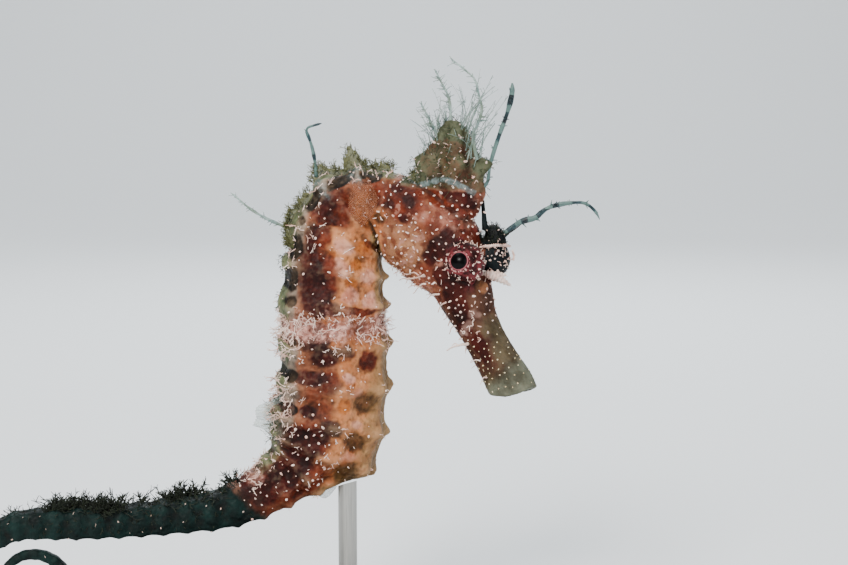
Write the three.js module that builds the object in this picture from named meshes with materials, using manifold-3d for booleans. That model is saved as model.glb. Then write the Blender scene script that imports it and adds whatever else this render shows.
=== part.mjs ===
// A life-size adult seahorse on a plain display stand, its head turned to one side and its tail curled.
// Millimetres, +Z up. The origin is the centre of the stand's underside. The snout points towards +X,
// and the animal's right side faces -Y.
//
// The whole animal hangs on one midline, from the mouth over the arched neck to the tail's tip. A point of
// the skin is found from the distance u along that line and the angle phi round it: 0 is the back, 90 the
// left side, 180 the belly and 270 the right side.

import * as THREE from "three";
import { mergeVertices } from "three/addons/utils/BufferGeometryUtils.js";
import Module from "manifold-3d";

const wasm = await Module();
wasm.setup();

// ---------- Driving sizes ----------

const MOUTH = new THREE.Vector3(26.3, -6.5, 41.3);
const FIRST_HEADING = 118.4; // of the midline at the mouth, in degrees: 90 runs straight up, 180 towards -X
const FIRST_YAW = 36; // how far the head is turned to the animal's right

// The midline as arcs: length, bend towards the belly, and the yaw of the body's plane at the far end.
const ARCS = [
  { part: "snout and face", length: 19.8, bend: 0, yaw: 36 },
  { part: "back of the head", length: 7.8, bend: 46.6, yaw: 25 },
  { part: "nape", length: 3.9, bend: 8, yaw: 8 },
  { part: "arch of the neck", length: 5.8, bend: 65, yaw: -6 },
  { part: "foot of the arch", length: 3.2, bend: 19, yaw: -12 },
  { part: "chest", length: 9.3, bend: 14, yaw: -16 },
  { part: "middle of the trunk", length: 8.5, bend: -5, yaw: -16 },
  { part: "belly", length: 8.6, bend: -16, yaw: -16 },
  { part: "rump", length: 5.6, bend: -37, yaw: -16 },
  { part: "root of the tail", length: 12.5, bend: -30, yaw: -16 },
  { part: "tail", length: 21.5, bend: -8, yaw: -16 },
];
const CURL = { turns: 1.6, firstRadius: 8, lastRadius: 1.7, pieces: 32, yaw: -8 };

// Half-heights above and below the midline and half-width, at distances u from the mouth.
const GIRTH = [
  { u: 0, back: 3.2, belly: 3.0, side: 2.1 },
  { u: 1.6, back: 3.2, belly: 3.0, side: 2.1 },
  { u: 4.2, back: 2.6, belly: 3.1, side: 1.9 },
  { u: 8.6, back: 1.7, belly: 3.5, side: 2.0 },
  { u: 11, back: 1.6, belly: 3.9, side: 2.3 },
  { u: 13, back: 2.2, belly: 4.3, side: 2.7 },
  { u: 16, back: 2.8, belly: 4.8, side: 3.3 },
  { u: 18.9, back: 3.4, belly: 7.1, side: 3.8 },
  { u: 21.5, back: 4.3, belly: 7.9, side: 4.1 },
  { u: 24.7, back: 4.6, belly: 7.6, side: 4.3 },
  { u: 27.5, back: 4.4, belly: 7.4, side: 4.4 },
  { u: 29.5, back: 4.7, belly: 7.1, side: 4.4 },
  { u: 30.5, back: 5.0, belly: 6.6, side: 4.3 },
  { u: 31.8, back: 5.1, belly: 5.0, side: 4.3 },
  { u: 33.5, back: 6.0, belly: 4.4, side: 4.3 },
  { u: 36, back: 7.3, belly: 4.4, side: 4.4 },
  { u: 38, back: 7.2, belly: 4.9, side: 4.5 },
  { u: 41, back: 7.2, belly: 5.7, side: 4.7 },
  { u: 47, back: 7.3, belly: 6.5, side: 5.1 },
  { u: 54, back: 7.3, belly: 7.0, side: 5.5 },
  { u: 60.5, back: 7.5, belly: 7.2, side: 5.7 },
  { u: 64.5, back: 7.7, belly: 7.7, side: 5.6 },
  { u: 67, back: 7.2, belly: 7.7, side: 5.2 },
  { u: 69.5, back: 6.6, belly: 5.0, side: 4.5 },
  { u: 71.5, back: 5.8, belly: 3.0, side: 3.9 },
  { u: 74, back: 5.2, belly: 2.5, side: 3.4 },
  { u: 80, back: 3.5, belly: 2.3, side: 2.8 },
  { u: 88, back: 2.5, belly: 2.1, side: 2.3 },
  { u: 106, back: 1.95, belly: 1.95, side: 1.95 },
  { u: 120, back: 1.5, belly: 1.5, side: 1.5 },
  { u: 136, back: 0.95, belly: 0.95, side: 0.95 },
  { u: 158, back: 0.4, belly: 0.4, side: 0.4 },
];
const MOUTH_SLANT = { shift: 1, lips: 0.7, fadesAt: 4.5 }; // the lower jaw is shorter, the lips are rounded
const HEAD_BOXINESS = 0.3;
const NECK_FOLD = { at: 36, width: 3.4 }; // the throat's skin stays smooth where the neck bends

// Bony rings, by the places of the grooves between them: crowded on the neck's arch, widest on the belly,
// and shorter again towards the tail's tip.
const GROOVES = [
  { ring: 0, u: 30.5 },
  { ring: 1, u: 32.6 },
  { ring: 2, u: 34.6 },
  { ring: 3, u: 37.2 },
  { ring: 4, u: 41.1 },
  { ring: 5, u: 45.2 },
  { ring: 6, u: 50.4 },
  { ring: 7, u: 55.6 },
  { ring: 8, u: 61 },
  { ring: 9, u: 65.6 },
  { ring: 10, u: 69.6 },
  { ring: 11, u: 73.2 },
  { ring: 18, u: 95 },
  { ring: 28, u: 119 },
  { ring: 38, u: 137 },
  { ring: 48, u: 150 },
];
const TRUNK_RINGS = 11;
const LAST_RING = 48;

// Lengthwise ridges, where the rings' plates meet. The lateral ridges and the keel end with the trunk.
const RIDGES = [
  { name: "superior", angle: 38, onTail: 1 },
  { name: "lateral", angle: 92, onTail: 0 },
  { name: "inferior", angle: 140, onTail: 1 },
];
const RIDGE_WIDTH = 13;
const RIDGE_HEIGHT = 0.35;
const TUBERCLE_HEIGHT = 0.75;
const KEEL_SPINE = 0.3;
const HOLLOW_DEPTH = 0.55;

// Places on the head are given by u, by height above the midline and by distance to the side.
const EYE = { u: 17.5, up: 3.3, out: 4, radius: 1.7 };
const TURRET = { out: 2.9, along: 2.6, up: 2.3, across: 2.6 };
const GILL_COVER = { u: 25.6, up: -2.2, out: 2, along: 4.4, high: 4.1, across: 3 };
const NOSE_BUMP = { u: 14.1, up: 2.5, out: -0.7, radius: 0.95 };
const BROW_SPINES = [
  { name: "left", u: 20.5, up: 4.6, out: 2, heading: 98, length: 4.4, thick: 0.95 },
  { name: "right", u: 21, up: 4.2, out: -2.4, heading: 98, length: 1.7, thick: 1.1 },
];
const BROW_LOBE = { u: 19.6, up: 4.7, out: 3.3, along: 2, high: 1.5, across: 1.3 };
const MOUTH_HOLE = { deep: 1.2, high: 1.6, wide: 1.1 };

// The coronet: a five-lobed crown on a foot that runs down into the forehead. Each level has its
// half-length, half-width, shift forwards and lobe depth.
const CORONET = {
  u: 24.8,
  heading: 87,
  yaw: 26,
  lobes: 5,
  levels: [
    { high: -4.4, long: 1.2, wide: 0.7, shift: 1.8, lobe: 0 },
    { high: -3, long: 2.2, wide: 1.3, shift: 1.3, lobe: 0 },
    { high: -1.6, long: 3.6, wide: 2.2, shift: 0.8, lobe: 0.02 },
    { high: 1, long: 4.5, wide: 2.5, shift: 0.4, lobe: 0.06 },
    { high: 2.8, long: 4.5, wide: 2.3, shift: 0.3, lobe: 0.1 },
    { high: 4.7, long: 4.6, wide: 2.3, shift: 0.2, lobe: 0.22 },
    { high: 5.5, long: 3.7, wide: 1.8, shift: 0.1, lobe: 0.16 },
    { high: 7, long: 2.7, wide: 1.3, shift: 0.3, lobe: 0.1 },
    { high: 8.6, long: 2, wide: 0.9, shift: 0.3, lobe: 0.06 },
    { high: 9.8, long: 0.8, wide: 0.5, shift: 0.1, lobe: 0 },
  ],
};

// Soft flaps and fins that stand on the body along one angle: lobes are { at: u, high, wide }.
const FLAPS = [
  {
    name: "mane_front",
    from: 26.6,
    to: 29.6,
    angle: 0,
    thick: 0.6,
    base: 0.5,
    lean: -0.35,
    lobes: [{ at: 28, high: 5.2, wide: 0.8 }],
  },
  {
    name: "mane_middle",
    from: 31.2,
    to: 36.4,
    angle: 0,
    thick: 0.6,
    base: 0.6,
    lean: 0,
    lobes: [
      { at: 32.4, high: 1.7, wide: 0.7 },
      { at: 33.8, high: 3.5, wide: 0.35 },
      { at: 35.3, high: 2, wide: 0.6 },
    ],
  },
  {
    name: "mane_rear",
    from: 36.6,
    to: 41.4,
    angle: 0,
    thick: 0.6,
    base: 0.5,
    lean: 0,
    lobes: [
      { at: 37.2, high: 1.4, wide: 0.5 },
      { at: 38.4, high: 1, wide: 0.5 },
      { at: 40, high: 0.7, wide: 0.7 },
    ],
  },
  {
    name: "dorsal_fin",
    from: 60.4,
    to: 70.6,
    angle: 0,
    thick: 0.55,
    base: 0.3,
    lean: 0,
    lobes: [{ at: 66, high: 2.5, wide: 3 }],
  },
  {
    name: "anal_fin",
    from: 69.9,
    to: 71.6,
    angle: 180,
    thick: 0.5,
    base: 0.2,
    lean: 0,
    lobes: [{ at: 70.8, high: 0.8, wide: 0.5 }],
  },
];
const PECTORAL_FIN = {
  u: 31.6,
  up: 1.2,
  rays: 14,
  length: 4.4,
  spread: 120,
  thick: 0.5,
  flare: 26, // degrees off the body
  clear: 0.35,
};

// Feelers: where each starts, its first heading, its run of [length, bend] arcs and its half-thicknesses.
const FEELERS = [
  {
    name: "brow_feeler",
    on: { u: 19.5, up: 5.3, out: 3.9 },
    heading: 48,
    yaw: 6,
    arcs: [[2.2, -12], [2.2, -28], [1.2, 40], [2.2, -32], [3.4, -16], [1.2, -34], [2.6, -40]],
    thick: [0.5, 0.25],
  },
  {
    name: "crown_streamer",
    on: { u: 22.95, up: 8.2, out: 0.52 },
    heading: 35,
    yaw: 14,
    arcs: [[1.8, 50], [3, -12], [4.2, -4], [3.4, 10], [1.9, 20]],
    thick: [0.3, 0.42],
  },
  {
    name: "crown_feeler_1",
    on: { u: 24.5, up: 11.6, out: -0.6 },
    heading: 104,
    yaw: 20,
    arcs: [[1.8, -10], [1.2, -32], [1.8, 10], [1.8, 36], [2, -8], [1.6, 40], [2.8, 4], [1.2, -24]],
    thick: [0.4, 0.25],
  },
  {
    name: "crown_feeler_2",
    on: { u: 26.8, up: 12.9, out: 0 },
    heading: 84,
    yaw: 24,
    arcs: [[2.6, 14], [2, 24], [3.2, -6]],
    thick: [0.45, 0.25],
  },
  {
    name: "crown_feeler_3",
    on: { u: 27.3, up: 10.7, out: 0.4 },
    heading: 128,
    yaw: 24,
    arcs: [[2, -14], [2.2, 10], [1.4, -30]],
    thick: [0.45, 0.25],
  },
  {
    name: "neck_feeler",
    on: { u: 35.7, up: 8.3, out: 0 },
    heading: 94,
    yaw: 0,
    arcs: [[2.9, 10], [2, 10], [1, -96], [1.9, -6]],
    thick: [0.35, 0.25],
  },
  {
    name: "back_feeler",
    on: { u: 39.75, up: 6.8, out: 1.15 },
    heading: 160,
    yaw: -10,
    arcs: [[4.3, -10], [3.4, -14], [1.7, 8]],
    thick: [0.35, 0.25],
  },
];

const BASE = { length: 76, width: 44, height: 5, chamfer: 0.6 };
const ROD = { x: 4.6, y: 1.5, radius: 1.25, reach: 30 };

const GAP = 0.1; // between two lengths of the body
const CLEARANCE = 0.15; // round what a piece grows from

// ---------- Small tools ----------

const rad = THREE.MathUtils.degToRad;
const mix = THREE.MathUtils.lerp;
const clamp = THREE.MathUtils.clamp;
const hump = (x, width) => Math.exp(-0.5 * (x / width) ** 2);
const angleBetween = (a, b) => Math.abs(((((a - b) % 360) + 540) % 360) - 180);
const smooth = (lo, hi, x) => THREE.MathUtils.smoothstep(x, lo, hi);

// A smooth value read off rows of { [key]: place, ...values } by monotone cubics.
function through(rows, key, value) {
  const xs = rows.map((row) => row[key]);
  const ys = rows.map((row) => row[value]);
  const slopes = ys.slice(1).map((y, i) => (y - ys[i]) / (xs[i + 1] - xs[i]));
  const tangents = ys.map((_, i) => {
    const before = slopes[Math.max(i - 1, 0)];
    const after = slopes[Math.min(i, slopes.length - 1)];
    return before * after <= 0 ? 0 : (2 * before * after) / (before + after);
  });
  return (x) => {
    const at = clamp(x, xs[0], xs[xs.length - 1]);
    let i = 0;
    while (i < xs.length - 2 && at > xs[i + 1]) i++;
    const span = xs[i + 1] - xs[i];
    const t = (at - xs[i]) / span;
    const rise = ys[i + 1] - ys[i];
    const bend0 = tangents[i] * span - rise;
    const bend1 = rise - tangents[i + 1] * span;
    return ys[i] + t * rise + t * (1 - t) * ((1 - t) * bend0 + t * bend1);
  };
}

// ---------- The midline ----------

function curlArcs() {
  const arcs = [];
  for (let i = 0; i < CURL.pieces; i++) {
    const radius = mix(CURL.firstRadius, CURL.lastRadius, (i + 0.5) / CURL.pieces);
    const bend = (360 * CURL.turns) / CURL.pieces;
    arcs.push({ part: "curl", length: radius * rad(bend), bend, yaw: CURL.yaw });
  }
  return arcs;
}

// Frames along a run of arcs in an upright plane whose yaw may swing. Each has a place and the directions
// forward, towards the belly and to the left.
function walk({ start, heading, yaw, arcs, step }) {
  const frames = [];
  const place = start.clone();
  for (const arc of arcs) {
    const steps = Math.max(Math.round(arc.length / step), 1);
    for (let i = 0; i < steps; i++) {
      const level = new THREE.Vector3(Math.cos(rad(yaw)), -Math.sin(rad(yaw)), 0);
      const [along, up] = [Math.cos(rad(heading)), Math.sin(rad(heading))];
      const forward = level.clone().multiplyScalar(along).setZ(up);
      const belly = level.clone().multiplyScalar(-up).setZ(along);
      const left = new THREE.Vector3(Math.sin(rad(yaw)), Math.cos(rad(yaw)), 0);
      frames.push({ place: place.clone(), forward, belly, left });
      place.addScaledVector(forward, arc.length / steps);
      heading += arc.bend / steps;
      yaw += (arc.yaw - yaw) / (steps - i);
    }
  }
  return frames;
}

const MIDLINE_STEP = 0.1;
const midline = walk({
  start: MOUTH,
  heading: FIRST_HEADING,
  yaw: FIRST_YAW,
  arcs: [...ARCS, ...curlArcs()],
  step: MIDLINE_STEP,
});

function frameAt(u) {
  const at = clamp(u / MIDLINE_STEP, 0, midline.length - 1.001);
  const i = Math.floor(at);
  const [a, b] = [midline[i], midline[i + 1]];
  const blend = (key) => a[key].clone().lerp(b[key], at - i);
  return {
    place: blend("place"),
    forward: blend("forward").normalize(),
    belly: blend("belly").normalize(),
    left: blend("left").normalize(),
  };
}

// ---------- The skin ----------

const back = through(GIRTH, "u", "back");
const belly = through(GIRTH, "u", "belly");
const side = through(GIRTH, "u", "side");

// How many rings lie between the neck's start and u: whole numbers are grooves, halves are crests.
const ringCount = through(GROOVES, "u", "ring");
const ringPlace = through(GROOVES, "ring", "u");
const TRUNK_START = ringPlace(0);
const TAIL_START = ringPlace(TRUNK_RINGS);

// The height of rings, ridges and tubercles over the plain section, in millimetres.
function relief(u, phi) {
  const onTail = smooth(TAIL_START - 3, TAIL_START + 4, u);
  const onTrunk = smooth(TRUNK_START - 1, TRUNK_START + 3, u);
  const folded = Math.max(-Math.cos(rad(phi)), 0) * hump(u - NECK_FOLD.at, NECK_FOLD.width);
  const size = mix(1, clamp(side(u) / 4, 0.12, 0.7), onTail) * onTrunk * (1 - folded);
  const ring = (0.5 - 0.5 * Math.cos(2 * Math.PI * ringCount(u))) ** 1.5;
  let ridge = 0;
  for (const { angle, onTail: kept } of RIDGES) {
    const strength = mix(1, kept, onTail);
    ridge += strength * hump(angleBetween(phi, angle), RIDGE_WIDTH);
    ridge += strength * hump(angleBetween(phi, -angle), RIDGE_WIDTH);
  }
  const keel = (1 - onTail) * hump(angleBetween(phi, 180), RIDGE_WIDTH);
  ridge = Math.min(ridge + keel, 1);
  const crest = RIDGE_HEIGHT * ridge + TUBERCLE_HEIGHT * ridge * ring + KEEL_SPINE * keel * ring;
  const hollow = HOLLOW_DEPTH * (1 - ridge) * (1 - ring);
  const boxed = HEAD_BOXINESS * Math.sin(rad(2 * phi)) ** 2 * (1 - onTrunk);
  return size * (crest - hollow) + boxed;
}

// A place given by u, height above the midline and distance to the left.
function placeAt({ u, up, out }) {
  const { place, belly: down, left } = frameAt(u);
  return place.addScaledVector(down, -up).addScaledVector(left, out);
}

function skinPoint(u, phi, lift = 0) {
  const { place, forward, belly: down, left } = frameAt(u);
  const [c, s] = [Math.cos(rad(phi)), Math.sin(rad(phi))];
  const deep = c > 0 ? back(u) : belly(u);
  const extra = relief(u, phi) + lift;
  const { shift, lips, fadesAt } = MOUTH_SLANT;
  const slant = (shift * (1 - c) - lips * s * s) * (1 - smooth(0, fadesAt, u));
  return place
    .addScaledVector(forward, slant)
    .addScaledVector(down, -c * (deep + extra))
    .addScaledVector(left, s * (side(u) + extra));
}

// ---------- Solids ----------

// Rings of points, all with the same count, as one closed geometry. Each end is closed on its middle.
function loft(rings) {
  const count = rings[0].length;
  const middles = [rings[0], rings[rings.length - 1]].map((ring) =>
    ring.reduce((sum, p) => sum.add(p), new THREE.Vector3()).divideScalar(count),
  );
  const points = [...rings.flat(), ...middles];
  const [first, last] = [points.length - 2, points.length - 1];
  const faces = [];
  for (let j = 0; j < count; j++) {
    const k = (j + 1) % count;
    for (let i = 0; i < rings.length - 1; i++) {
      const [a, b] = [i * count + j, i * count + k];
      faces.push(a, b, b + count, a, b + count, a + count);
    }
    const end = (rings.length - 1) * count;
    faces.push(first, k, j, last, end + j, end + k);
  }
  const geometry = new THREE.BufferGeometry().setFromPoints(points);
  geometry.setIndex(faces);
  return geometry;
}

function toSolid(geometry) {
  const bare = new THREE.BufferGeometry();
  bare.setAttribute("position", geometry.getAttribute("position"));
  bare.setIndex(geometry.getIndex());
  const merged = mergeVertices(bare, 1e-4);
  return new wasm.Manifold(
    new wasm.Mesh({
      numProp: 3,
      vertProperties: new Float32Array(merged.getAttribute("position").array),
      triVerts: new Uint32Array(merged.getIndex().array),
    }),
  );
}

function toGeometry(solid) {
  const { numProp, vertProperties, triVerts } = solid.getMesh();
  const points = [];
  for (let i = 0; i < vertProperties.length; i += numProp) {
    points.push(new THREE.Vector3(...vertProperties.slice(i, i + 3)));
  }
  const geometry = new THREE.BufferGeometry().setFromPoints(points);
  geometry.setIndex([...triVerts]);
  geometry.computeVertexNormals();
  return geometry;
}

const HEAD_ANGLES = Array.from({ length: 16 }, (_, i) => (i * 360) / 16);
const TRUNK_ANGLES = [0, 38, 65, 92, 116, 140, 160, 180, 200, 220, 244, 268, 295, 322];
const TAIL_ANGLES = [0, 38, 90, 140, 180, 220, 270, 322];

const sections = (places, angles, lift = 0) =>
  places.map((u) => angles.map((phi) => skinPoint(u, phi, lift)));

// A stretch of rings from one count to another, with several sections to each ring.
function ringed(from, to, shares, angles, lift = 0) {
  const places = [];
  for (let ring = from; ring < to; ring++) {
    for (const share of shares) places.push(ringPlace(ring + share));
  }
  places.push(ringPlace(to) - GAP);
  return toSolid(loft(sections(places, angles, lift)));
}

const TRUNK_SHARES = [0, 0.3, 0.5, 0.7];
const TAIL_SHARES = [0, 0.5];

// An ellipsoid on the head, its axes along the midline, up and to the side.
function blob({ u, up, out }, along, high, across, facets = 12) {
  const { forward, belly: down, left } = frameAt(u);
  const axes = new THREE.Matrix4().makeBasis(
    forward.multiplyScalar(along),
    down.multiplyScalar(-high),
    left.multiplyScalar(across),
  );
  const geometry = new THREE.SphereGeometry(1, facets, facets / 2 + 1).applyMatrix4(axes);
  const { x, y, z } = placeAt({ u, up, out });
  return toSolid(geometry.translate(x, y, z));
}

// A round, tapering run of arcs. The half-thickness changes evenly from one end to the other.
function feeler({ on, heading, yaw, arcs, thick, sides = 6, step = 0.55 }) {
  const path = walk({
    start: placeAt(on),
    heading,
    yaw,
    arcs: arcs.map(([length, bend]) => ({ length, bend, yaw })),
    step,
  });
  const rings = path.map(({ place, belly: down, left }, i) => {
    const radius = mix(thick[0], thick[1], i / (path.length - 1));
    return Array.from({ length: sides }, (_, j) => {
      const turn = (2 * Math.PI * j) / sides;
      const spot = place.clone().addScaledVector(down, -radius * Math.cos(turn));
      return spot.addScaledVector(left, radius * Math.sin(turn));
    });
  });
  return toSolid(loft(rings));
}

// A thin web along the body, as high as its lobes are at each place.
function flap({ from, to, angle, thick, base, lean, lobes }) {
  const steps = Math.ceil((to - from) / 0.45);
  const rings = [];
  for (let i = 0; i <= steps; i++) {
    const u = mix(from, to, i / steps);
    const ends = smooth(0, 0.12, i / steps) * smooth(0, 0.12, 1 - i / steps);
    let high = base;
    for (const lobe of lobes) high = Math.max(high, lobe.high * hump(u - lobe.at, lobe.wide));
    high = 0.15 + high * ends;
    const { left } = frameAt(u);
    const foot = skinPoint(u, angle, -0.9);
    const top = skinPoint(u + lean * high, angle, high);
    const sideways = (spot, share) => spot.clone().addScaledVector(left, share * thick);
    rings.push([sideways(foot, -0.5), sideways(top, -0.5), sideways(top, 0.5), sideways(foot, 0.5)]);
  }
  if (angle === 180) rings.forEach((ring) => ring.reverse());
  return toSolid(loft(rings));
}

// A fan of rays, thin and slightly scalloped, that stands off the neck behind the gill cover.
function pectoralFin(hand) {
  const { u, up, rays, length, spread, thick, flare, clear } = PECTORAL_FIN;
  const outline = new THREE.Shape();
  outline.moveTo(0, -0.6);
  for (let i = 0; i <= rays * 2; i++) {
    const turn = rad(mix(-spread / 2, spread / 2, i / (rays * 2)));
    const reach = length * (i % 2 ? 1 : 0.95) * (0.72 + 0.28 * Math.cos(turn));
    outline.lineTo(reach * Math.cos(turn), reach * Math.sin(turn));
  }
  outline.lineTo(0, 0.6);
  const geometry = new THREE.ExtrudeGeometry(outline, { depth: thick, bevelEnabled: false });
  const { forward, belly: down, left } = frameAt(u);
  const outwards = left.multiplyScalar(hand);
  const along = forward.multiplyScalar(Math.cos(rad(flare)));
  along.addScaledVector(outwards, Math.sin(rad(flare)));
  const upwards = down.multiplyScalar(-1);
  const across = new THREE.Vector3().crossVectors(along, upwards);
  geometry.applyMatrix4(new THREE.Matrix4().makeBasis(along, upwards, across));
  const { x, y, z } = placeAt({ u, up, out: hand * (side(u) + clear) });
  return toSolid(geometry.translate(x, y, z));
}

function coronetSolid() {
  const [start] = walk({
    start: skinPoint(CORONET.u, 0),
    heading: CORONET.heading,
    yaw: CORONET.yaw,
    arcs: [{ length: 1, bend: 0, yaw: CORONET.yaw }],
    step: 1,
  });
  const rings = CORONET.levels.map(({ high, long, wide, shift, lobe }) =>
    Array.from({ length: 20 }, (_, j) => {
      const turn = (2 * Math.PI * j) / 20;
      const reach = 1 + lobe * Math.cos(CORONET.lobes * turn);
      const spot = start.place.clone().addScaledVector(start.forward, high);
      spot.addScaledVector(start.belly, -(shift + long * reach * Math.cos(turn)));
      return spot.addScaledVector(start.left, wide * reach * Math.sin(turn));
    }),
  );
  return toSolid(loft(rings));
}

// ---------- Assembly ----------

const root = new THREE.Group();

function addPart(name, solid, { color, roughness = 0.55 }) {
  const material = new THREE.MeshStandardMaterial({ color, roughness, metalness: 0 });
  const mesh = new THREE.Mesh(toGeometry(solid), material);
  mesh.name = name;
  root.add(mesh);
}

// What is left of a piece outside the bodies it grows from: its largest bit.
function trimmed(solid, ...bodies) {
  const outside = bodies.reduce((rest, body) => rest.subtract(body), solid);
  const bits = outside.decompose().sort((a, b) => b.volume() - a.volume());
  return bits[0];
}

const BROWN_SKIN = { color: "#8e5640" };
const SNOUT_SKIN = { color: "#a08a6c" };
const TAIL_SKIN = { color: "#3a3426" };
const OLIVE = { color: "#7d7a4a" };
const FIN = { color: "#b9c4b4", roughness: 0.4 };
const EYEBALL = { color: "#2a1418", roughness: 0.15 };
const STAND_BASE = { color: "#2b2724", roughness: 0.5 };
const STAND_ROD = { color: "#b8b4ab", roughness: 0.35 };

const HEAD_END = TRUNK_START - GAP;
const SNOUT_END = 11;
const snoutPlaces = [0, 0.7, 1.6, 3, 4.8, 6.8, 8.8, SNOUT_END - GAP];
const facePlaces = [SNOUT_END, 12.6, 14.2, 15.8, 17.4, 19, 20.6, 22.2, 24, 26, 28, 29.4, HEAD_END];

function snoutSolid() {
  const hole = blob({ u: 0, up: 0, out: 0 }, MOUTH_HOLE.deep, MOUTH_HOLE.high, MOUTH_HOLE.wide);
  return toSolid(loft(sections(snoutPlaces, HEAD_ANGLES))).subtract(hole);
}

function browSpine({ u, up, out, heading, length, thick }, lift) {
  const ends = [thick / 2 + lift, 0.25 + lift];
  const arcs = [[length + lift, 0]];
  return feeler({ on: { u, up, out }, heading, yaw: 30, arcs, thick: ends, step: 0.9 });
}

function headSolid(lift = 0) {
  let head = toSolid(loft(sections(facePlaces, HEAD_ANGLES, lift)));
  for (const hand of [1, -1]) {
    const { along, up, across } = TURRET;
    const { u, up: high, out } = { ...EYE, out: hand * TURRET.out };
    head = head.add(blob({ u, up: high, out }, along + lift, up + lift, across + lift));
    const cover = { ...GILL_COVER, out: hand * GILL_COVER.out };
    head = head.add(blob(cover, cover.along + lift, cover.high + lift, cover.across + lift, 14));
  }
  const nose = NOSE_BUMP.radius + lift;
  head = head.add(blob(NOSE_BUMP, nose, nose, nose, 8));
  const lobe = BROW_LOBE;
  head = head.add(blob(lobe, lobe.along + lift, lobe.high + lift, lobe.across + lift, 8));
  for (const spine of BROW_SPINES) head = head.add(browSpine(spine, lift));
  return head;
}

const grownHead = headSolid(CLEARANCE);
const grownNeck = ringed(0, 5, TRUNK_SHARES, TRUNK_ANGLES, CLEARANCE);
const grownTrunk = ringed(4, TRUNK_RINGS, TRUNK_SHARES, TRUNK_ANGLES, CLEARANCE);
const grownTail = ringed(TRUNK_RINGS, 12, TAIL_SHARES, TAIL_ANGLES, CLEARANCE);

function addHead() {
  addPart("snout", snoutSolid(), SNOUT_SKIN);
  let head = headSolid();
  for (const [name, hand] of [["left", 1], ["right", -1]]) {
    const spot = { ...EYE, out: hand * EYE.out };
    const socket = EYE.radius + GAP;
    head = head.subtract(blob(spot, socket, socket, socket, 14));
    addPart(`eye_${name}`, blob(spot, EYE.radius, EYE.radius, EYE.radius, 14), EYEBALL);
  }
  addPart("head", trimmed(head, grownNeck), BROWN_SKIN);
}

function addBody() {
  addPart("neck", ringed(0, 4, TRUNK_SHARES, TRUNK_ANGLES), BROWN_SKIN);
  addPart("trunk_upper", ringed(4, 7, TRUNK_SHARES, TRUNK_ANGLES), BROWN_SKIN);
  addPart("trunk_lower", ringed(7, TRUNK_RINGS, TRUNK_SHARES, TRUNK_ANGLES), BROWN_SKIN);
  const cuts = [TRUNK_RINGS, 14, 18, 22, 26, 31, 36, 41, LAST_RING];
  for (let i = 0; i < cuts.length - 1; i++) {
    addPart(`tail_${i + 1}`, ringed(cuts[i], cuts[i + 1], TAIL_SHARES, TAIL_ANGLES), TAIL_SKIN);
  }
}

function addTrimmings() {
  const crown = trimmed(coronetSolid(), grownHead, grownNeck);
  addPart("coronet", crown, OLIVE);
  const bodies = [grownHead, grownNeck, grownTrunk, grownTail, crown];
  const webs = [];
  for (const spec of FLAPS) {
    addPart(spec.name, trimmed(flap(spec), ...bodies), spec.name.endsWith("fin") ? FIN : OLIVE);
    webs.push(flap({ ...spec, thick: spec.thick + 2 * CLEARANCE }));
  }
  for (const spec of FEELERS) addPart(spec.name, trimmed(feeler(spec), ...bodies, ...webs), OLIVE);
  for (const [name, hand] of [["left", 1], ["right", -1]]) {
    addPart(`pectoral_fin_${name}`, trimmed(pectoralFin(hand), ...bodies), FIN);
  }
}

function addStand() {
  const { length, width, height, chamfer } = BASE;
  const outline = new THREE.Shape();
  outline.absellipse(0, 0, length / 2 - chamfer, width / 2 - chamfer, 0, 2 * Math.PI);
  const plate = new THREE.ExtrudeGeometry(outline, {
    depth: height - 2 * chamfer,
    bevelThickness: chamfer,
    bevelSize: chamfer,
    bevelSegments: 1,
    curveSegments: 24,
  });
  addPart("stand_base", toSolid(plate.translate(0, 0, chamfer)), STAND_BASE);
  const foot = height + GAP;
  const rod = new THREE.CylinderGeometry(ROD.radius, ROD.radius, ROD.reach, 16).rotateX(Math.PI / 2);
  const upright = toSolid(rod.translate(ROD.x, ROD.y, foot + ROD.reach / 2));
  const outside = upright.subtract(grownTrunk).decompose();
  const lowest = outside.sort((a, b) => a.boundingBox().min[2] - b.boundingBox().min[2])[0];
  addPart("stand_rod", lowest, STAND_ROD);
}

addHead();
addBody();
addTrimmings();
addStand();

export default root;
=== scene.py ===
# A still, life-size seahorse on a plain stand: one skin over the whole body, eyes, fins, skin flaps, feelers
# and white papillae. Lengths are millimetres until a mesh is made, which turns them into metres. A place on
# the body is given by u, its distance along the midline from the mouth; phi, the angle round the midline in
# degrees, 0 on the back and 180 on the belly; or up and out, its height above the midline and its distance
# to the left.
import math
from itertools import product

import bmesh
import bpy
import numpy as np
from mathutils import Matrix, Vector, kdtree, noise


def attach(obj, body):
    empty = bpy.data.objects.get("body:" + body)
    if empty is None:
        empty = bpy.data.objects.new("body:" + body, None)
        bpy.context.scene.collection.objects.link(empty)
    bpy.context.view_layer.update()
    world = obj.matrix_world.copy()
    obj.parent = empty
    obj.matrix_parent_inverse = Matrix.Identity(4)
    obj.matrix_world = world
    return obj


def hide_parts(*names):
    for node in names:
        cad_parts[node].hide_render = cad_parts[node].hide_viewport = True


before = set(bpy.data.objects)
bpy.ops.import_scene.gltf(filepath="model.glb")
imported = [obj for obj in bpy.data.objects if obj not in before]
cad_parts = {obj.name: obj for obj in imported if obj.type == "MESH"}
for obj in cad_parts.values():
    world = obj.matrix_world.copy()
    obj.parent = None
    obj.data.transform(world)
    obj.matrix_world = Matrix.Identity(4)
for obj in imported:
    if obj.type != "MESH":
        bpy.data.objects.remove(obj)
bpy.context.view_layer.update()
MM = 0.001
RNG = np.random.default_rng(11)

# ---------------------------------------------------------------- the midline, as in the solids

MOUTH = np.array([26.3, -6.5, 41.3])
FIRST_HEADING, FIRST_YAW = 118.4, 36.0
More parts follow.
